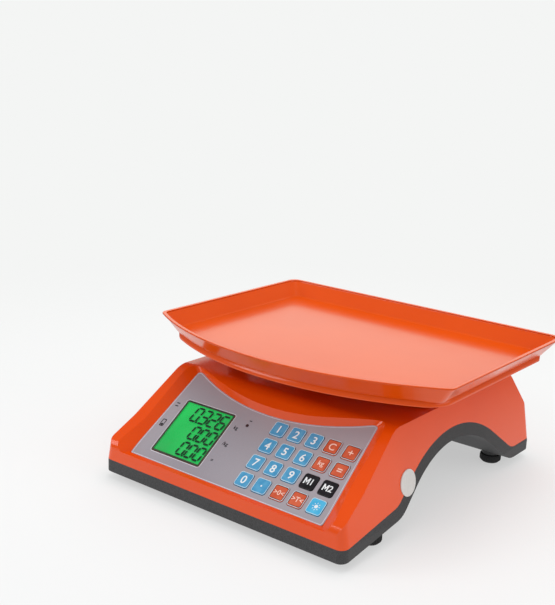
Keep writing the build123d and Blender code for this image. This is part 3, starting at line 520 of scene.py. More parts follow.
def baked_mesh(piece):
    """Plain mesh of an object as its modifiers or its text leave it."""
    bpy.context.view_layer.update()
    seen = piece.evaluated_get(bpy.context.evaluated_depsgraph_get())
    mesh = bpy.data.meshes.new_from_object(seen)
    bpy.data.objects.remove(piece)
    return mesh


def lettering(words, height, weight, thickness):
    """Raised lettering, centred on the origin, with a capital of the given height."""
    capital_share = 0.73
    curve = bpy.data.curves.new("lettering", "FONT")
    curve.body = words
    curve.size = height / capital_share
    curve.align_x = "CENTER"
    curve.offset = weight
    curve.extrude = thickness / 2
    curve.resolution_u = 4
    piece = bpy.data.objects.new("lettering", curve)
    scene.collection.objects.link(piece)
    mesh = baked_mesh(piece)
    low = min(vertex.co.y for vertex in mesh.vertices)
    high = max(vertex.co.y for vertex in mesh.vertices)
    left = min(vertex.co.x for vertex in mesh.vertices)
    right = max(vertex.co.x for vertex in mesh.vertices)
    centre = Vector(((left + right) / 2, (low + high) / 2, -thickness / 2))
    return moved(mesh, Matrix.Translation(-centre))


print("small pieces can be made")

# %% [markdown]
# ## Two rules for what repeats
#
# A scale repeats a few shapes many times over: the bars of its digits, the printed frames
# round its keys, the ribs on its feet. Geometry Nodes suit that, since one tree states the
# rule and its inputs state the sizes. The first tree stands one shape on every point of a
# mesh, turned by the point's own angle. The second draws a rounded frame of any size.

# %% Tree that stands a shape on points


def new_tree(name, inputs):
    """Empty geometry tree with named inputs, and the identifier of each."""
    tree = bpy.data.node_groups.new(name, "GeometryNodeTree")
    tree.interface.new_socket("Geometry", in_out="OUTPUT", socket_type="NodeSocketGeometry")
    kinds = {"geometry": "Geometry", "size": "Float", "shape": "Object", "finish": "Material"}
    keys = {}
    for label, kind in inputs:
        socket_type = "NodeSocket" + kinds[kind]
        socket = tree.interface.new_socket(label, in_out="INPUT", socket_type=socket_type)
        keys[label] = socket.identifier
    graph = Graph(tree)
    entry = tree.nodes.new("NodeGroupInput")
    wires = {label: Wire(graph, entry.outputs[label]) for label, _ in inputs}
    return tree, graph, wires, keys


def close_tree(graph, geometry, finish):
    """Ends a tree in plain mesh with its finish set."""
    plain = graph.node("GeometryNodeRealizeInstances", {"Geometry": geometry})
    inputs = {"Geometry": plain, "Material": finish}
    coated = graph.node("GeometryNodeSetMaterial", inputs)
    graph.node("NodeGroupOutput", {"Geometry": coated}, output=None)


def run_tree(tree, keys, mesh, **values):
    """Plain mesh that a tree makes from a mesh and its inputs."""
    piece = bpy.data.objects.new("work", mesh)
    scene.collection.objects.link(piece)
    modifier = piece.modifiers.new("work", "NODES")
    modifier.node_group = tree
    for label, value in values.items():
        modifier[keys[label]] = value
    return baked_mesh(piece)


points_tree, graph, wires, points_keys = new_tree(
    "shape on points",
    [("Points", "geometry"), ("Shape", "shape"), ("Finish", "finish")],
)
turn = graph.node("GeometryNodeInputNamedAttribute", {"Name": "turn"}, data_type="FLOAT")
facing = graph.node("ShaderNodeCombineXYZ", {"Z": turn})
shape = graph.node("GeometryNodeObjectInfo", {"Object": wires["Shape"]}, output="Geometry")
inputs = {"Points": wires["Points"], "Instance": shape, "Rotation": facing}
close_tree(graph, graph.node("GeometryNodeInstanceOnPoints", inputs), wires["Finish"])


def on_points(shape_mesh, places, finish):
    """Copies of a shape at places of (x, y, turn)."""
    points = bpy.data.meshes.new("points")
    points.from_pydata([(x, y, 0) for x, y, _ in places], [], [])
    turns = points.attributes.new("turn", "FLOAT", "POINT")
    turns.data.foreach_set("value", [angle for _, _, angle in places])
    shape_piece = bpy.data.objects.new("shape", shape_mesh)
    scene.collection.objects.link(shape_piece)
    mesh = run_tree(points_tree, points_keys, points, Shape=shape_piece, Finish=finish)
    bpy.data.objects.remove(shape_piece)
    return mesh


print("tree:", points_tree.name)

# %% Tree that draws a rounded frame
frame_tree, graph, wires, frame_keys = new_tree(
    "rounded frame",
    [
        ("Width", "size"),
        ("Height", "size"),
        ("Corner", "size"),
        ("Band", "size"),
        ("Thickness", "size"),
        ("Finish", "finish"),
    ],
)
outlines = []
for inset in (0, 1):
    drawn = graph.node(
        "GeometryNodeCurvePrimitiveQuadrilateral",
        {
            "Width": wires["Width"] - wires["Band"] * (2 * inset),
            "Height": wires["Height"] - wires["Band"] * (2 * inset),
        },
    )
    rounded = graph.node(
        "GeometryNodeFilletCurve",
        {"Curve": drawn, "Radius": wires["Corner"] - wires["Band"] * inset, "Count": 6},
        mode="POLY",
    )
    outlines.append(rounded)
both = graph.node("GeometryNodeJoinGeometry", {"Geometry": outlines[0]})
graph.tree.links.new(outlines[1].socket, both.socket.node.inputs["Geometry"])
band = graph.node("GeometryNodeFillCurve", {"Curve": both}, mode="TRIANGLES")
walls = graph.node(
    "GeometryNodeExtrudeMesh",
    {"Mesh": band, "Offset Scale": wires["Thickness"], "Individual": False},
)
back = graph.node("GeometryNodeFlipFaces", {"Mesh": band})
closed = graph.node("GeometryNodeJoinGeometry", {"Geometry": walls})
graph.tree.links.new(back.socket, closed.socket.node.inputs["Geometry"])
whole = graph.node("GeometryNodeMergeByDistance", {"Geometry": closed, "Distance": 0.000001})
close_tree(graph, whole, wires["Finish"])


def rounded_frame(width, height, corner, band_width, thickness, finish):
    """Flat frame with round corners, centred on the origin."""
    return run_tree(
        frame_tree,
        frame_keys,
        bpy.data.meshes.new("work"),
        Width=width,
        Height=height,
        Corner=corner,
        Band=band_width,
        Thickness=thickness,
        Finish=finish,
    )


print("tree:", frame_tree.name)

# %% [markdown]
# ## The tray as one rule
#
# The tray is one outline drawn in step by step: over its rim, down its sloping wall and
# across its floor. So its skin is a grid with a column for each point of the outline and
# a row for each point of the wall's profile. A third tree works out every place of that
# grid from the two, and caps it at both ends. The same tree makes the skirt below.

# %% Tree that draws a skin from an outline and a profile
skin_tree, graph, wires, skin_keys = new_tree(
    "skin",
    [
        ("Outline", "geometry"),
        ("Profile", "shape"),
        ("Flare", "size"),
        ("Depth", "size"),
        ("Finish", "finish"),
    ],
)
outline = wires["Outline"]
profile = graph.node("GeometryNodeObjectInfo", {"Object": wires["Profile"]}, output="Geometry")
place = graph.node("GeometryNodeInputPosition")
inward = graph.node("GeometryNodeInputNamedAttribute", {"Name": "inward"}, data_type="FLOAT_VECTOR")


def count_of(geometry):
    return graph.node("GeometryNodeAttributeDomainSize", {"Geometry": geometry}, output="Point Count")


def value_at(geometry, value, index):
    inputs = {"Geometry": geometry, "Value": value, "Index": index}
    return graph.node("GeometryNodeSampleIndex", inputs, data_type="FLOAT_VECTOR")


def vector_sum(first, second):
    return graph.node("ShaderNodeVectorMath", {0: first, 1: second}, operation="ADD")


def drawn(direction, row):
    """How far a row of the profile lies inwards, as a vector along the given direction."""
    share = graph.node("ShaderNodeSeparateXYZ", {0: value_at(profile, place, row)}, output="X")
    inputs = {0: direction, "Scale": share * wires["Flare"]}
    return graph.node("ShaderNodeVectorMath", inputs, operation="SCALE")


def raised(row):
    share = graph.node("ShaderNodeSeparateXYZ", {0: value_at(profile, place, row)}, output="Y")
    return graph.node("ShaderNodeCombineXYZ", {"Z": share * wires["Depth"]})


columns, rows = count_of(outline), count_of(profile)
grid = graph.node("GeometryNodeMeshGrid", {"Vertices X": columns + 1, "Vertices Y": rows})
index = graph.node("GeometryNodeInputIndex")
column = graph.node("ShaderNodeMath", {0: index, 1: rows}, operation="DIVIDE")
column = graph.node("ShaderNodeMath", {0: column}, operation="FLOOR")
row = index - column * rows
around = graph.node("ShaderNodeMath", {0: column, 1: columns}, operation="MODULO")
spot = vector_sum(value_at(outline, place, around), drawn(value_at(outline, inward, around), row))
skin = graph.node("GeometryNodeSetPosition", {"Geometry": grid, "Position": vector_sum(spot, raised(row))})
parts = [skin]
for end in (rows * 0, rows - 1):
    ring = graph.node("GeometryNodeSetPosition", {"Geometry": outline, "Offset": drawn(inward, end)})
    curve = graph.node("GeometryNodeMeshToCurve", {"Mesh": ring})
    cap = graph.node("GeometryNodeFillCurve", {"Curve": curve}, mode="NGONS")
    parts.append(graph.node("GeometryNodeSetPosition", {"Geometry": cap, "Offset": raised(end)}))
closed = graph.node("GeometryNodeJoinGeometry", {"Geometry": parts[0]})
for part in parts[1:]:
    graph.tree.links.new(part.socket, closed.socket.node.inputs["Geometry"])
whole = graph.node("GeometryNodeMergeByDistance", {"Geometry": closed, "Distance": 0.000002})
close_tree(graph, whole, wires["Finish"])
print("tree:", skin_tree.name)

# %% [markdown]
# The outline has a straight rear and straight sides, a bowed front, and round corners
# that keep their radius however far it is drawn in. The profile's corners are rounded
# too, each with a close point either side, so that flat stretches stay flat to the eye.

# %% Outline, profile and the finished tray
TRAY_BOW = 52.0 * MM
TRAY_FLARE = 14.1 * MM
TRAY_DEPTH = 18.5 * MM
BOW_STEPS, CORNER_STEPS = 72, 10


def tray_ring(inset, front_radius, rear_radius):
    """Points of the tray's outline, anticlockwise from the left end of its bow."""
    low, high, _, _ = node_box("weighing_tray")
    half = high.x
    bow_radius = (half * half + TRAY_BOW * TRAY_BOW) / (2 * TRAY_BOW)
    centre_y = low.y + bow_radius
    side = half - inset - front_radius
    reach = bow_radius - inset - front_radius
    front_y = centre_y - (reach * reach - side * side) ** 0.5
    tilt = atan2(centre_y - front_y, side)
    rear_side, rear_y = half - inset - rear_radius, high.y - inset - rear_radius
    arcs = [
        (0.0, centre_y, bow_radius - inset, pi + tilt, tau - tilt, BOW_STEPS),
        (side, front_y, front_radius, -tilt, 0.0, CORNER_STEPS),
        (rear_side, rear_y, rear_radius, 0.0, pi / 2, CORNER_STEPS),
        (-rear_side, rear_y, rear_radius, pi / 2, pi, CORNER_STEPS),
        (-side, front_y, front_radius, pi, pi + tilt, CORNER_STEPS),
    ]
    points = []
    for x, y, radius, start, end, steps in arcs:
        for step in range(steps + 1):
            angle = start + (end - start) * step / steps
            points.append(Vector((x + radius * cos(angle), y + radius * sin(angle), 0)))
    tiny = 0.001 * MM
    return points, [i for i in range(len(points)) if (points[i] - points[i - 1]).length > tiny]


def softened(corners, radii, steps=4, support=0.35 * MM):
    """Path with round corners, and a close point either side of each."""
    path = [Vector(corners[0])]
    for before, here, after, radius in zip(corners, corners[1:], corners[2:], radii):
        back = (Vector(before) - Vector(here)).normalized()
        ahead = (Vector(after) - Vector(here)).normalized()
        start, end = Vector(here) + back * radius, Vector(here) + ahead * radius
        path.append(start + back * support)
        for step in range(steps + 1):
            share = step / steps
            first = start.lerp(Vector(here), share)
            second = Vector(here).lerp(end, share)
            path.append(first.lerp(second, share))
        path.append(end + ahead * support)
    path.append(Vector(corners[-1]))
    return path


def tray_skin(corners, radii, front_radius, rear_radius, finish):
    """Closed skin whose profile is given by (inset, height) corners below the rim."""
    outer, kept = tray_ring(0.0, front_radius, rear_radius)
    inner, _ = tray_ring(TRAY_FLARE, front_radius, rear_radius)
    outline = bpy.data.meshes.new("outline")
    edges = [(i, (i + 1) % len(kept)) for i in range(len(kept))]
    outline.from_pydata([outer[i] for i in kept], edges, [])
    inward = outline.attributes.new("inward", "FLOAT_VECTOR", "POINT")
    steps = [(inner[i] - outer[i]) / TRAY_FLARE for i in kept]
    inward.data.foreach_set("vector", [part for step in steps for part in step])
    path = softened([(x * MM, y * MM) for x, y in corners], [radius * MM for radius in radii])
    profile = bpy.data.meshes.new("profile")
    profile.from_pydata([(p.x / TRAY_FLARE, p.y / TRAY_DEPTH, 0) for p in path], [], [])
    profile_piece = bpy.data.objects.new("profile", profile)
    scene.collection.objects.link(profile_piece)
    mesh = run_tree(
        skin_tree,
        skin_keys,
        outline,
        Profile=profile_piece,
        Flare=TRAY_FLARE,
        Depth=TRAY_DEPTH,
        Finish=finish,
    )
    bpy.data.objects.remove(profile_piece)
    work = bmesh.new()
    work.from_mesh(mesh)
    bmesh.ops.recalc_face_normals(work, faces=work.faces)
    for face in work.faces:
        face.smooth = True
    work.to_mesh(mesh)
    work.free()
    return mesh


tray_rim = node_box("weighing_tray")[1].z
BODY_PROFILE = [
    (19.0, -16.0), (14.45, -16.0), (3.8, -1.6), (3.8, 0.0), (0.0, 0.0),
    (0.0, -1.6), (1.6, -1.6), (14.1, -18.5), (19.0, -18.5),
]
SKIRT_PROFILE = [(13.0, -17.0), (13.0, -23.0), (15.2, -23.0), (15.2, -18.0)]
BODY_RADII = [1.6, 0.5, 0.6, 0.6, 0.4, 0.3, 1.4]
SKIRT_RADII = [0.5, 0.5]
# plan radii of the front and rear corners
BODY_CORNERS = (9.0 * MM, 10.0 * MM)
SKIRT_CORNERS = (34.0 * MM, 14.0 * MM)
body_skin = tray_skin(BODY_PROFILE, BODY_RADII, *BODY_CORNERS, tray_orange)
skirt_skin = tray_skin(SKIRT_PROFILE, SKIRT_RADII, *SKIRT_CORNERS, tray_orange)
SOCKET_WIDTH, SOCKET_WALL, SOCKET_HEIGHT, SOCKET_DROP = 25.0 * MM, 2.0 * MM, 3.5 * MM, 22.0 * MM
SOCKET_CORNER = 12.4 * MM
ring_meshes = []
pads = [vertex.co for vertex in nodes["tray_pads"].data.vertices]
pads_y = node_box("tray_pads")[2].y
for side in (-1, 1):
    for end in (-1, 1):
        near = [p for p in pads if p.x * side > 0 and (p.y - pads_y) * end > 0]
        pad_middle = sum(near, Vector()) / len(near)
        sizes = (SOCKET_WIDTH, SOCKET_WIDTH, SOCKET_CORNER, SOCKET_WALL, SOCKET_HEIGHT)
        ring = rounded_frame(*sizes, tray_orange)
        foot = Vector((pad_middle.x, pad_middle.y, tray_rim - SOCKET_DROP))
        ring_meshes.append(moved(ring, Matrix.Translation(foot)))
to_rim = Matrix.Translation((0, 0, tray_rim))
skins = [moved(body_skin, to_rim), moved(skirt_skin, to_rim)]
tray = new_piece("tray_skin", joined("tray_skin", skins + ring_meshes), tray_orange, "tray")
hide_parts("weighing_tray")
print("tray skin:", len(tray.data.polygons), "faces")

# %% [markdown]
# ## Seven-bar digits
#
# A weighing display draws its digits from seven bars. The bars of a lit digit are places
# with a turn, so a whole number is one list of places, and the first tree stands the same
# six-sided bar on all of them. Leaning the finished row to the right gives the familiar
# slant. Nothing here is lettering: the rows only show a plain weight and two plain zeros.

# %% Digits
DIGIT_BARS = {
    "0": "abcdef",
    "1": "bc",
    "2": "abged",
    "3": "abgcd",
    "4": "fgbc",
    "5": "afgcd",
    "6": "afgedc",
    "7": "abc",
    "8": "abcdefg",
    "9": "abcdfg",
}
SLANT = radians(7)
REAR_SHARE = 1.3


def bar_outline(length, width):
    """Bar with a point at each end."""
    half, side = length / 2, width / 2
    return [
        (-half, 0),
        (-half + side, -side),
        (half - side, -side),
        (half, 0),
        (half - side, side),
        (-half + side, side),
    ]


def bar_places(digit, left, digit_width, height):
    """Places and turns of a digit's lit bars."""
    reach = digit_width / 2
    up = height / 2
    middle = left + reach
    places = {
        "a": (middle, height, 0),
        "b": (middle + reach, up + up / 2, pi / 2),
        "c": (middle + reach, up / 2, pi / 2),
        "d": (middle, 0, 0),
        "e": (middle - reach, up / 2, pi / 2),
        "f": (middle - reach, up + up / 2, pi / 2),
        "g": (middle, up, 0),
    }
    return [places[bar] for bar in DIGIT_BARS[digit]]


def number_mesh(text, height, digit_width, pitch, bar_width, thickness, finish):
    """A number that ends at x = 0 and stands on y = 0, slanted to the right."""
    bars, points = [], []
    left = -digit_width
    for sign in reversed(text):
        if sign == ".":
            points.append((left + pitch - (pitch - digit_width) / 2, 0, 0))
        else:
            bars += bar_places(sign, left, digit_width, height)
            left -= pitch
    upright = plate("bar", bar_outline(height / 2 - bar_width / 3, bar_width), thickness)
    dot = plate("point", bar_outline(bar_width * 1.3, bar_width * 1.3), thickness)
    meshes = [on_points(upright, bars, finish)]
    if points:
        meshes.append(on_points(dot, points, finish))
    lean = Matrix.Identity(4)
    lean[0][1] = tan(SLANT)
    return moved(joined("number", meshes), lean)


lcd_ink = clear_print("lcd_ink", (0, 46, 22), (0, 58, 28))
INK = 0.05 * MM
BAR = 2.1 * MM
SHOWN = ["0.326", "0.00", "0.00"]
# foot, height, width and pitch of the digits of each row, from the middle of the window
ROWS = [(10.8, 15.6, 7.6, 10.5), (-7.7, 14.3, 7.4, 10.2), (-26.4, 14.3, 7.4, 10.2)]
ROW_END = 25.0 * MM


def display_rows(shown, rows, end):
    """Rows of digits for one display, laid out flat about its middle."""
    meshes = []
    for text, (foot, height, digit_width, pitch) in zip(shown, rows):
        sizes = [size * MM for size in (height, digit_width, pitch)]
        number = number_mesh(text, *sizes, BAR, INK, lcd_ink)
        meshes.append(moved(number, Matrix.Translation((end, foot * MM, 0))))
    return joined("rows", meshes)


cell_place = layout_matrix(top_of("display_lens", console_out), console_out, ACROSS)
digits = moved(display_rows(SHOWN, ROWS, ROW_END), cell_place)
new_piece("display_digits", digits, lcd_ink, "base")
rear_place = layout_matrix(top_of("rear_lens", rear_out), rear_out, -ACROSS)
REAR_ROW = (-9.5, 19.0, 10.5, 14.0)
rear_digits = moved(display_rows(SHOWN[:1], [REAR_ROW], ROW_END * REAR_SHARE), rear_place)
new_piece("rear_digits", rear_digits, lcd_ink, "base")
print("display digits:", len(digits.polygons) + len(rear_digits.polygons), "faces")

# %% [markdown]
# ## Frames, marks and the panel's border
#
# Each window sits in a dark printed frame with a thin pale edge. The panel has small
# plain marks beside the rows, and a pale line that runs round inside its outline. That
# line takes its path from the panel itself: the longest edge loop of its upper face,
# drawn in by a small step.

# %% Printed frames, marks and border


def reach_of(name, out):
    """How far a node reaches in the direction out."""
    return max(vertex.co.dot(out) for vertex in nodes[name].data.vertices)


def outer_loop(name, out):
    """Points, in order, of the longest edge loop of a node's face that looks out."""
    work = bmesh.new()
    work.from_mesh(nodes[name].data)
    bmesh.ops.remove_doubles(work, verts=work.verts, dist=0.000005)
    top = reach_of(name, out) - 0.1 * MM
    upper = {face for face in work.faces if face.calc_center_median().dot(out) > top}
    follow = {}
    for face in upper:
        for loop in face.loops:
            if sum(other in upper for other in loop.edge.link_faces) == 1:
                follow[loop.vert] = loop.link_loop_next.vert
    loops = []
    while follow:
        start, step = follow.popitem()
        path = [start.co.copy()]
        while step in follow:
            path.append(step.co.copy())
            step = follow.pop(step)
        loops.append(path)
    work.free()
    return max(loops, key=lambda path: sum((a - b).length for a, b in zip(path, path[1:])))


def drawn_in(path, step):
    """The same closed flat path, moved inwards by a step; the path runs anticlockwise."""
    moved_path = []
    for before, here, after in zip(path[-1:] + path[:-1], path, path[1:] + path[:1]):
        first = (here - before).normalized()
        second = (after - here).normalized()
        inward = Vector((-first.y - second.y, first.x + second.x, 0)).normalized()
        share = max(0.5, inward.dot(Vector((-first.y, first.x, 0))))
        moved_path.append(here + inward * (step / share))
    return moved_path


def flat_band(name, outer, inner, thickness):
    """Closed flat band between two paths with as many points."""
    work = bmesh.new()
    rings = []
    for path, height in ((outer, 0), (inner, 0), (inner, thickness), (outer, thickness)):
        rings.append([work.verts.new((point.x, point.y, height)) for point in path])
    for ring, following in zip(rings, rings[1:] + rings[:1]):
        for i in range(len(ring)):
            j = (i + 1) % len(ring)
            work.faces.new((ring[i], ring[j], following[j], following[i]))
    bmesh.ops.recalc_face_normals(work, faces=work.faces)
    return ended(name, work)


# how much wider than the window, then corner radius and band, of its frame and pale edge
WINDOW_FRAME = (-0.3 * MM, 2.1 * MM, 1.9 * MM)
WINDOW_EDGE = (1.9 * MM, 3.1 * MM, 0.6 * MM)


def window_frames(name, lens, place, out, overlay):
    """Dark frame on a window and the pale edge round it on the film."""
    low, high, _, _ = node_box(lens)
    width = high.x - low.x
    across = out.cross(ACROSS)
    heights = [vertex.co.dot(across) for vertex in nodes[lens].data.vertices]
    height = max(heights) - min(heights)
    grow, corner, band_width = WINDOW_FRAME
    ring = rounded_frame(width + grow, height + grow, corner, band_width, INK, print_olive)
    new_piece(name + "_frame", moved(ring, place), print_olive, "base")
    grow, corner, band_width = WINDOW_EDGE
    edge = rounded_frame(width + grow, height + grow, corner, band_width, INK, print_silver)
    drop = Matrix.Translation(out * (reach_of(overlay, out) - reach_of(lens, out)))
    new_piece(name + "_edge", moved(edge, drop @ place), print_silver, "base")
    return drop @ place


film_place = window_frames("display", "display_lens", cell_place, console_out, "console_overlay")
window_frames("rear_display", "rear_lens", rear_place, rear_out, "rear_overlay")

path = [film_place.inverted() @ point for point in outer_loop("console_overlay", console_out)]
area = sum(a.x * b.y - b.x * a.y for a, b in zip(path, path[1:] + path[:1]))
if area < 0:
    path.reverse()
BORDER_INSET, BORDER_WIDTH = 0.9 * MM, 0.6 * MM
outer, inner = drawn_in(path, BORDER_INSET), drawn_in(path, BORDER_INSET + BORDER_WIDTH)
border = flat_band("border", outer, inner, INK)
new_piece("panel_border", moved(border, film_place), print_silver, "base")

# x, y from the window's middle, then length, width and turn of each plain mark
MARKS = [
    (-38.4, 24.6, 4.4, 1.1, 0.0),
    (-38.4, 21.2, 4.4, 1.1, 0.0),
    (-39.2, -4.4, 4.4, 0.9, 0.0),
    (-39.2, 3.2, 4.4, 0.9, 0.0),
    (-41.2, -0.6, 8.2, 0.9, pi / 2),
    (-37.2, -0.6, 8.2, 0.9, pi / 2),
    (-39.2, -2.7, 3.4, 3.0, 0.0),
    (48.8, 30.5, 3.4, 1.0, 0.0),
]
for order, (x, y, length, width, turn) in enumerate(MARKS):
    bar = plate("mark", bar_outline(length * MM, width * MM), INK)
    mark = on_points(bar, [(x * MM, y * MM, turn)], print_dark)
    new_piece("panel_mark_%d" % order, moved(mark, film_place), print_dark, "base")
UNITS = [("kg", 39.0, 18.6), ("/kg", 39.9, -0.6), ("=", 38.2, -19.8)]
UNIT_HEIGHT, UNIT_WEIGHT = 3.9 * MM, 0.09 * MM
for order, (words, x, y) in enumerate(UNITS):
    place = Matrix.Translation((x * MM, y * MM, 0))
    unit = moved(lettering(words, UNIT_HEIGHT, UNIT_WEIGHT, INK), place)
    new_piece("panel_unit_%d" % order, moved(unit, film_place), print_dark, "base")
print("frames, border and", len(MARKS), "marks")

# %% [markdown]
# ## Key legends
#
# Eleven blue keys carry the digits and the point, the red ones carry functions, two dark
# ones are memories and the last, cyan one switches the light. Each legend is a pale print
# a twentieth of a millimetre thick, with a printed frame near the key's edge. It is laid
# out flat, carried to the top of its key, and rides on that key.

# %% Legends and frames of the keys
KEY = 15.0 * MM
PAD_SIZE = (13.6 * MM, 12.6 * MM, 1.2 * MM)
# side, corner radius and band of the pale edge and of the red keys' dark frame
KEY_EDGE = (KEY - 0.2 * MM, 2.4 * MM, 0.45 * MM)
KEY_FRAME = (KEY - 1.4 * MM, 1.9 * MM, 0.5 * MM)
DIGIT_HEIGHT, DIGIT_WEIGHT = 8.2 * MM, 0.16 * MM
SIGN_HEIGHT, WORD_HEIGHT = 7.4 * MM, 5.0 * MM
MEMORY_HEIGHT, MEMORY_STROKE = 6.4 * MM, 1.25 * MM
SUN_RADIUS = 1.7 * MM
LEGENDS = {
    "key_point": "·",
    "key_zero": ">0<",
    "key_tare": ">T<",
    "key_unit": "kg",
    "key_change": "=",
    "key_clear": "C",
    "key_add": "+",
}
LEGENDS.update({"key_%d" % digit: str(digit) for digit in range(10)})


def sun_mesh(radius, thickness):
    """Lamp sign: a disc with eight rays."""
    angles = [tau * i / 24 for i in range(24)]
    disc = plate("disc", [(radius * cos(a), radius * sin(a)) for a in angles], thickness)
    ray = plate("ray", bar_outline(radius * 0.9, radius * 0.32), thickness)
    out = 1.9 * radius
    ring = [(out * cos(a), out * sin(a), a) for a in angles[::3]]
    return joined("sun", [disc, on_points(ray, ring, print_white)])


def memory_mesh(digit, height, stroke, thickness):
    """The letter M drawn as one plain outline, with a digit beside it."""
    width, middle = height * 0.86, height * 0.43
    letter = [
        (0, 0), (stroke, 0), (stroke, height * 0.62), (middle, height * 0.16),
        (width - stroke, height * 0.62), (width - stroke, 0), (width, 0), (width, height),
        (width - stroke, height), (middle, height * 0.5), (stroke, height), (0, height),
    ]
    drawn = plate("letter", [(x - width * 0.92, y - height / 2) for x, y in letter], thickness)
    beside = Matrix.Translation((height * 0.44, 0, 0))
    number = moved(lettering(digit, height, stroke / 12, thickness), beside)
    return joined("memory", [drawn, number])


def key_prints(name):
    """Meshes with their finishes for the print on one key, laid out flat."""
    kind = slot_of[name]
    if kind == "key_black":
        pad = plate("pad", round_corners(*PAD_SIZE), INK)
        legend = memory_mesh(name[-1], MEMORY_HEIGHT, MEMORY_STROKE, INK)
        legend = moved(legend, Matrix.Translation((0, 0, INK)))
        return [("pad", pad, print_night), ("legend", legend, print_white)]
    outer = rounded_frame(KEY_EDGE[0], *KEY_EDGE, INK, print_pale)
    if kind == "key_red":
        inner = rounded_frame(KEY_FRAME[0], *KEY_FRAME, INK, print_dark)
        size = SIGN_HEIGHT if len(LEGENDS[name]) == 1 else WORD_HEIGHT
        legend = lettering(LEGENDS[name], size, size / 75, INK)
        return [("edge", outer, print_pale), ("frame", inner, print_dark), ("legend", legend, print_peach)]
    if kind == "key_cyan":
        return [("edge", outer, print_pale), ("legend", sun_mesh(SUN_RADIUS, INK), print_white)]
    legend = lettering(LEGENDS[name], DIGIT_HEIGHT, DIGIT_WEIGHT, INK)
    return [("edge", outer, print_pale), ("legend", legend, print_white)]


key_nodes = sorted(name for name in nodes if name.startswith("key_") and name != "key_mat")
for name in key_nodes:
    place = layout_matrix(top_of(name, console_out), console_out, ACROSS)
    for part, mesh, finish in key_prints(name):
        new_piece(name + "_" + part, moved(mesh, place), finish, name)
print("printed", len(key_nodes), "keys")

# %% [markdown]
# ## Ribs underneath and behind
#
# A thumb needs a grip on the battery door, and the feet are ribbed all round so that they
# can be turned by hand to level the scale. Both are one rib stood on many points, and
# they ride on the door and on the feet.

# %% Grip ribs
door_low, _, door_middle, _ = node_box("battery_door")
DOWN = Vector((0, 0, -1))
rib = plate("rib", round_corners(1.0 * MM, 5.0 * MM, 0.45 * MM), 0.4 * MM)
DOOR_RIBS, RIB_PITCH = 12, 2.4 * MM
rib_places = [((i - (DOOR_RIBS - 1) / 2) * RIB_PITCH, 0, 0) for i in range(DOOR_RIBS)]
door_place = layout_matrix(Vector((door_middle.x, door_middle.y, door_low.z)), DOWN, ACROSS)
ribs = moved(on_points(rib, rib_places, shell_grey), door_place)
new_piece("door_ribs", ribs, shell_grey, "battery_door")
FOOT_RIBS, GRIP_RISE, GRIP_HEIGHT = 28, 2.4 * MM, 4.4 * MM
for name in sorted(node for node in nodes if node.startswith("foot_")):
    low, _, foot_middle, foot_size = node_box(name)
    radius = foot_size.x / 2
    angles = [tau * i / FOOT_RIBS for i in range(FOOT_RIBS)]
    rounds = [(radius * cos(angle), radius * sin(angle), angle) for angle in angles]
    grip = plate("grip", round_corners(0.7 * MM, 1.0 * MM, 0.3 * MM, 3), GRIP_HEIGHT)
    place = Matrix.Translation((foot_middle.x, foot_middle.y, low.z + GRIP_RISE))
    grips = moved(on_points(grip, rounds, foot_rubber), place)
    new_piece(name + "_ribs", grips, foot_rubber, name)
print("ribs on the door and", FOOT_RIBS, "on each foot")

# %% [markdown]
# ## Setting the stage
#
# Studio light for a glossy product is large and soft. The broad lamp overhead lights every
# upward face but isn't mirrored in any, or the tray would look washed out from above. A
# lamp low behind gives the pale sheen on the tray, one at the front left shapes the
# console, and a weak one fills the right side. The floor is pale, takes a soft shadow and
# fades away with distance.

# %% Floor
FLOOR_RADIUS = 1.5
PAPER = (244, 245, 244)
rim = [(FLOOR_RADIUS * cos(tau * i / 64), FLOOR_RADIUS * sin(tau * i / 64)) for i in range(64)]
floor_mesh = bpy.data.meshes.new("floor")
floor_mesh.from_pydata([(x, y, -0.1 * MM) for x, y in rim], [], [range(len(rim))])
floor = bpy.data.objects.new("floor", floor_mesh)
scene.collection.objects.link(floor)
floor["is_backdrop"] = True
# half of the paper's brightness is its own, so that shadows on it stay light
floor_finish, graph, shader = new_finish(
    "floor_paper",
    Roughness=0.9,
    Specular_IOR_Level=0.0,
    Emission_Color=(1.0, 1.0, 1.0, 1.0),
    Emission_Strength=0.5,
)
shade = graph.noise(3.0, 2.0)
feed(graph, shader, Base_Color=graph.blend(shade, colour(171, 172, 171), colour(174, 175, 174)))
# the paper fades out with distance, so that no horizon shows behind the scale
away = graph.node("ShaderNodeVectorMath", {0: graph.place()}, output="Value", operation="LENGTH")
fade = graph.ramp(away * (1 / FLOOR_RADIUS), (0.2, 0.0), (0.62, 1.0))
# and it is clear from below, where the eye looks at the scale's underside
fade = fade + graph.node("ShaderNodeNewGeometry", output="Backfacing")
clear = graph.node("ShaderNodeBsdfTransparent")
paper = Wire(graph, shader.outputs["BSDF"])
mixed = graph.node("ShaderNodeMixShader", {0: fade, 1: paper, 2: clear})
outlet = floor_finish.node_tree.nodes["Material Output"]
graph.tree.links.new(mixed.socket, outlet.inputs["Surface"])
floor.data.materials.append(floor_finish)
print("floor radius", FLOOR_RADIUS)

# %% Surroundings and lamps
world = bpy.data.worlds.new("studio")
scene.world = world
world.use_nodes = True
graph = Graph(world.node_tree)
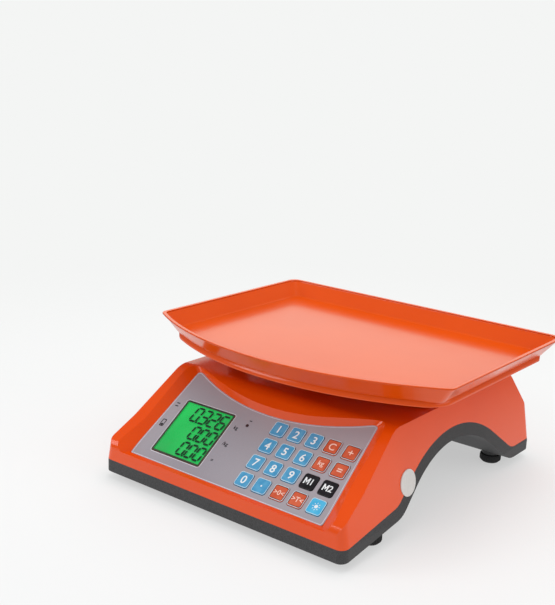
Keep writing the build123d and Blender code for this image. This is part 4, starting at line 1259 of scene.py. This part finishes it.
# the eye sees plain paper white, while the pieces are lit by a slightly dimmer sky
rays = world.node_tree.nodes.new("ShaderNodeLightPath")
seen = Wire(graph, rays.outputs["Is Camera Ray"])
paper = graph.node("ShaderNodeBackground", {"Color": colour(*PAPER), "Strength": 1.0})
sky = graph.node("ShaderNodeBackground", {"Color": colour(246, 247, 250), "Strength": 0.7})
dusk = graph.node("ShaderNodeBackground", {"Color": colour(246, 247, 250), "Strength": 0.22})
mirrored = Wire(graph, rays.outputs["Is Glossy Ray"])
lit = graph.node("ShaderNodeMixShader", {0: mirrored, 1: sky, 2: dusk})
both = graph.node("ShaderNodeMixShader", {0: seen, 1: lit, 2: paper})
outlet = world.node_tree.nodes["World Output"]
world.node_tree.links.new(both.socket, outlet.inputs["Surface"])


def soft_lamp(name, place, target, size, power, tint=(1.0, 1.0, 1.0), mirrored=True):
    lamp = bpy.data.lights.new(name, "AREA")
    lamp.color = tint
    lamp.shape = "RECTANGLE"
    lamp.size, lamp.size_y = size
    lamp.energy = power
    piece = bpy.data.objects.new(name, lamp)
    scene.collection.objects.link(piece)
    piece.location = place
    piece.visible_camera = False
    piece.visible_glossy = mirrored
    aim = Vector(target) - Vector(place)
    piece.rotation_euler = aim.to_track_quat("-Z", "Y").to_euler()


middle = (cad_box[0] + cad_box[1]) / 2
soft_lamp("overhead", (0.1, 0.1, 1.5), middle, (1.1, 0.8), 7.5, mirrored=False)
soft_lamp("front_left", (-1.2, -1.3, 0.9), middle, (0.8, 0.9), 8.0)
soft_lamp("right_fill", (1.4, 0.3, 0.6), middle, (1.2, 0.8), 3.5, (1.0, 0.98, 0.92))
soft_lamp("rear_sheen", (-1.1, 1.5, 0.75), middle, (2.2, 0.9), 6.3, (1.0, 0.97, 0.84))
print("lamps placed")

# %% [markdown]
# The camera stands at the front right, a little above the tray's rim, and looks past the
# scale rather than straight at it, with a slight roll. Its place is worked out from a few
# angles, one distance and how far the view is moved aside and up.

# %% Camera
azimuth, elevation, roll = radians(37.87), radians(14.38), radians(2.42)
distance = 1.0349
aim_height = 0.0545
aside, above = 0.05233, 0.11146
back = Vector((sin(azimuth) * cos(elevation), -cos(azimuth) * cos(elevation), sin(elevation)))
level = Vector((cos(azimuth), sin(azimuth), 0))
upward = back.cross(level)
right = level * cos(roll) + upward * sin(roll)
up = upward * cos(roll) - level * sin(roll)
camera = bpy.data.objects.new("camera", bpy.data.cameras.new("camera"))
scene.collection.objects.link(camera)
camera.data.sensor_width = 36.0
camera.data.lens = 61.66
camera.data.clip_end = 50.0
eye = Vector((0, 0, aim_height)) + back * distance - right * aside + up * above
camera.matrix_world = Matrix.Translation(eye) @ Matrix((right, up, back)).transposed().to_4x4()
scene.camera = camera
scene.view_settings.view_transform = "Standard"
print("camera at", [round(part, 3) for part in eye])

# %% Sizes and finish
sizes = {"cad": [list(corner) for corner in cad_box], "visual": [list(corner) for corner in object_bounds()]}
print("cad", sizes["cad"])
print("visual", sizes["visual"])
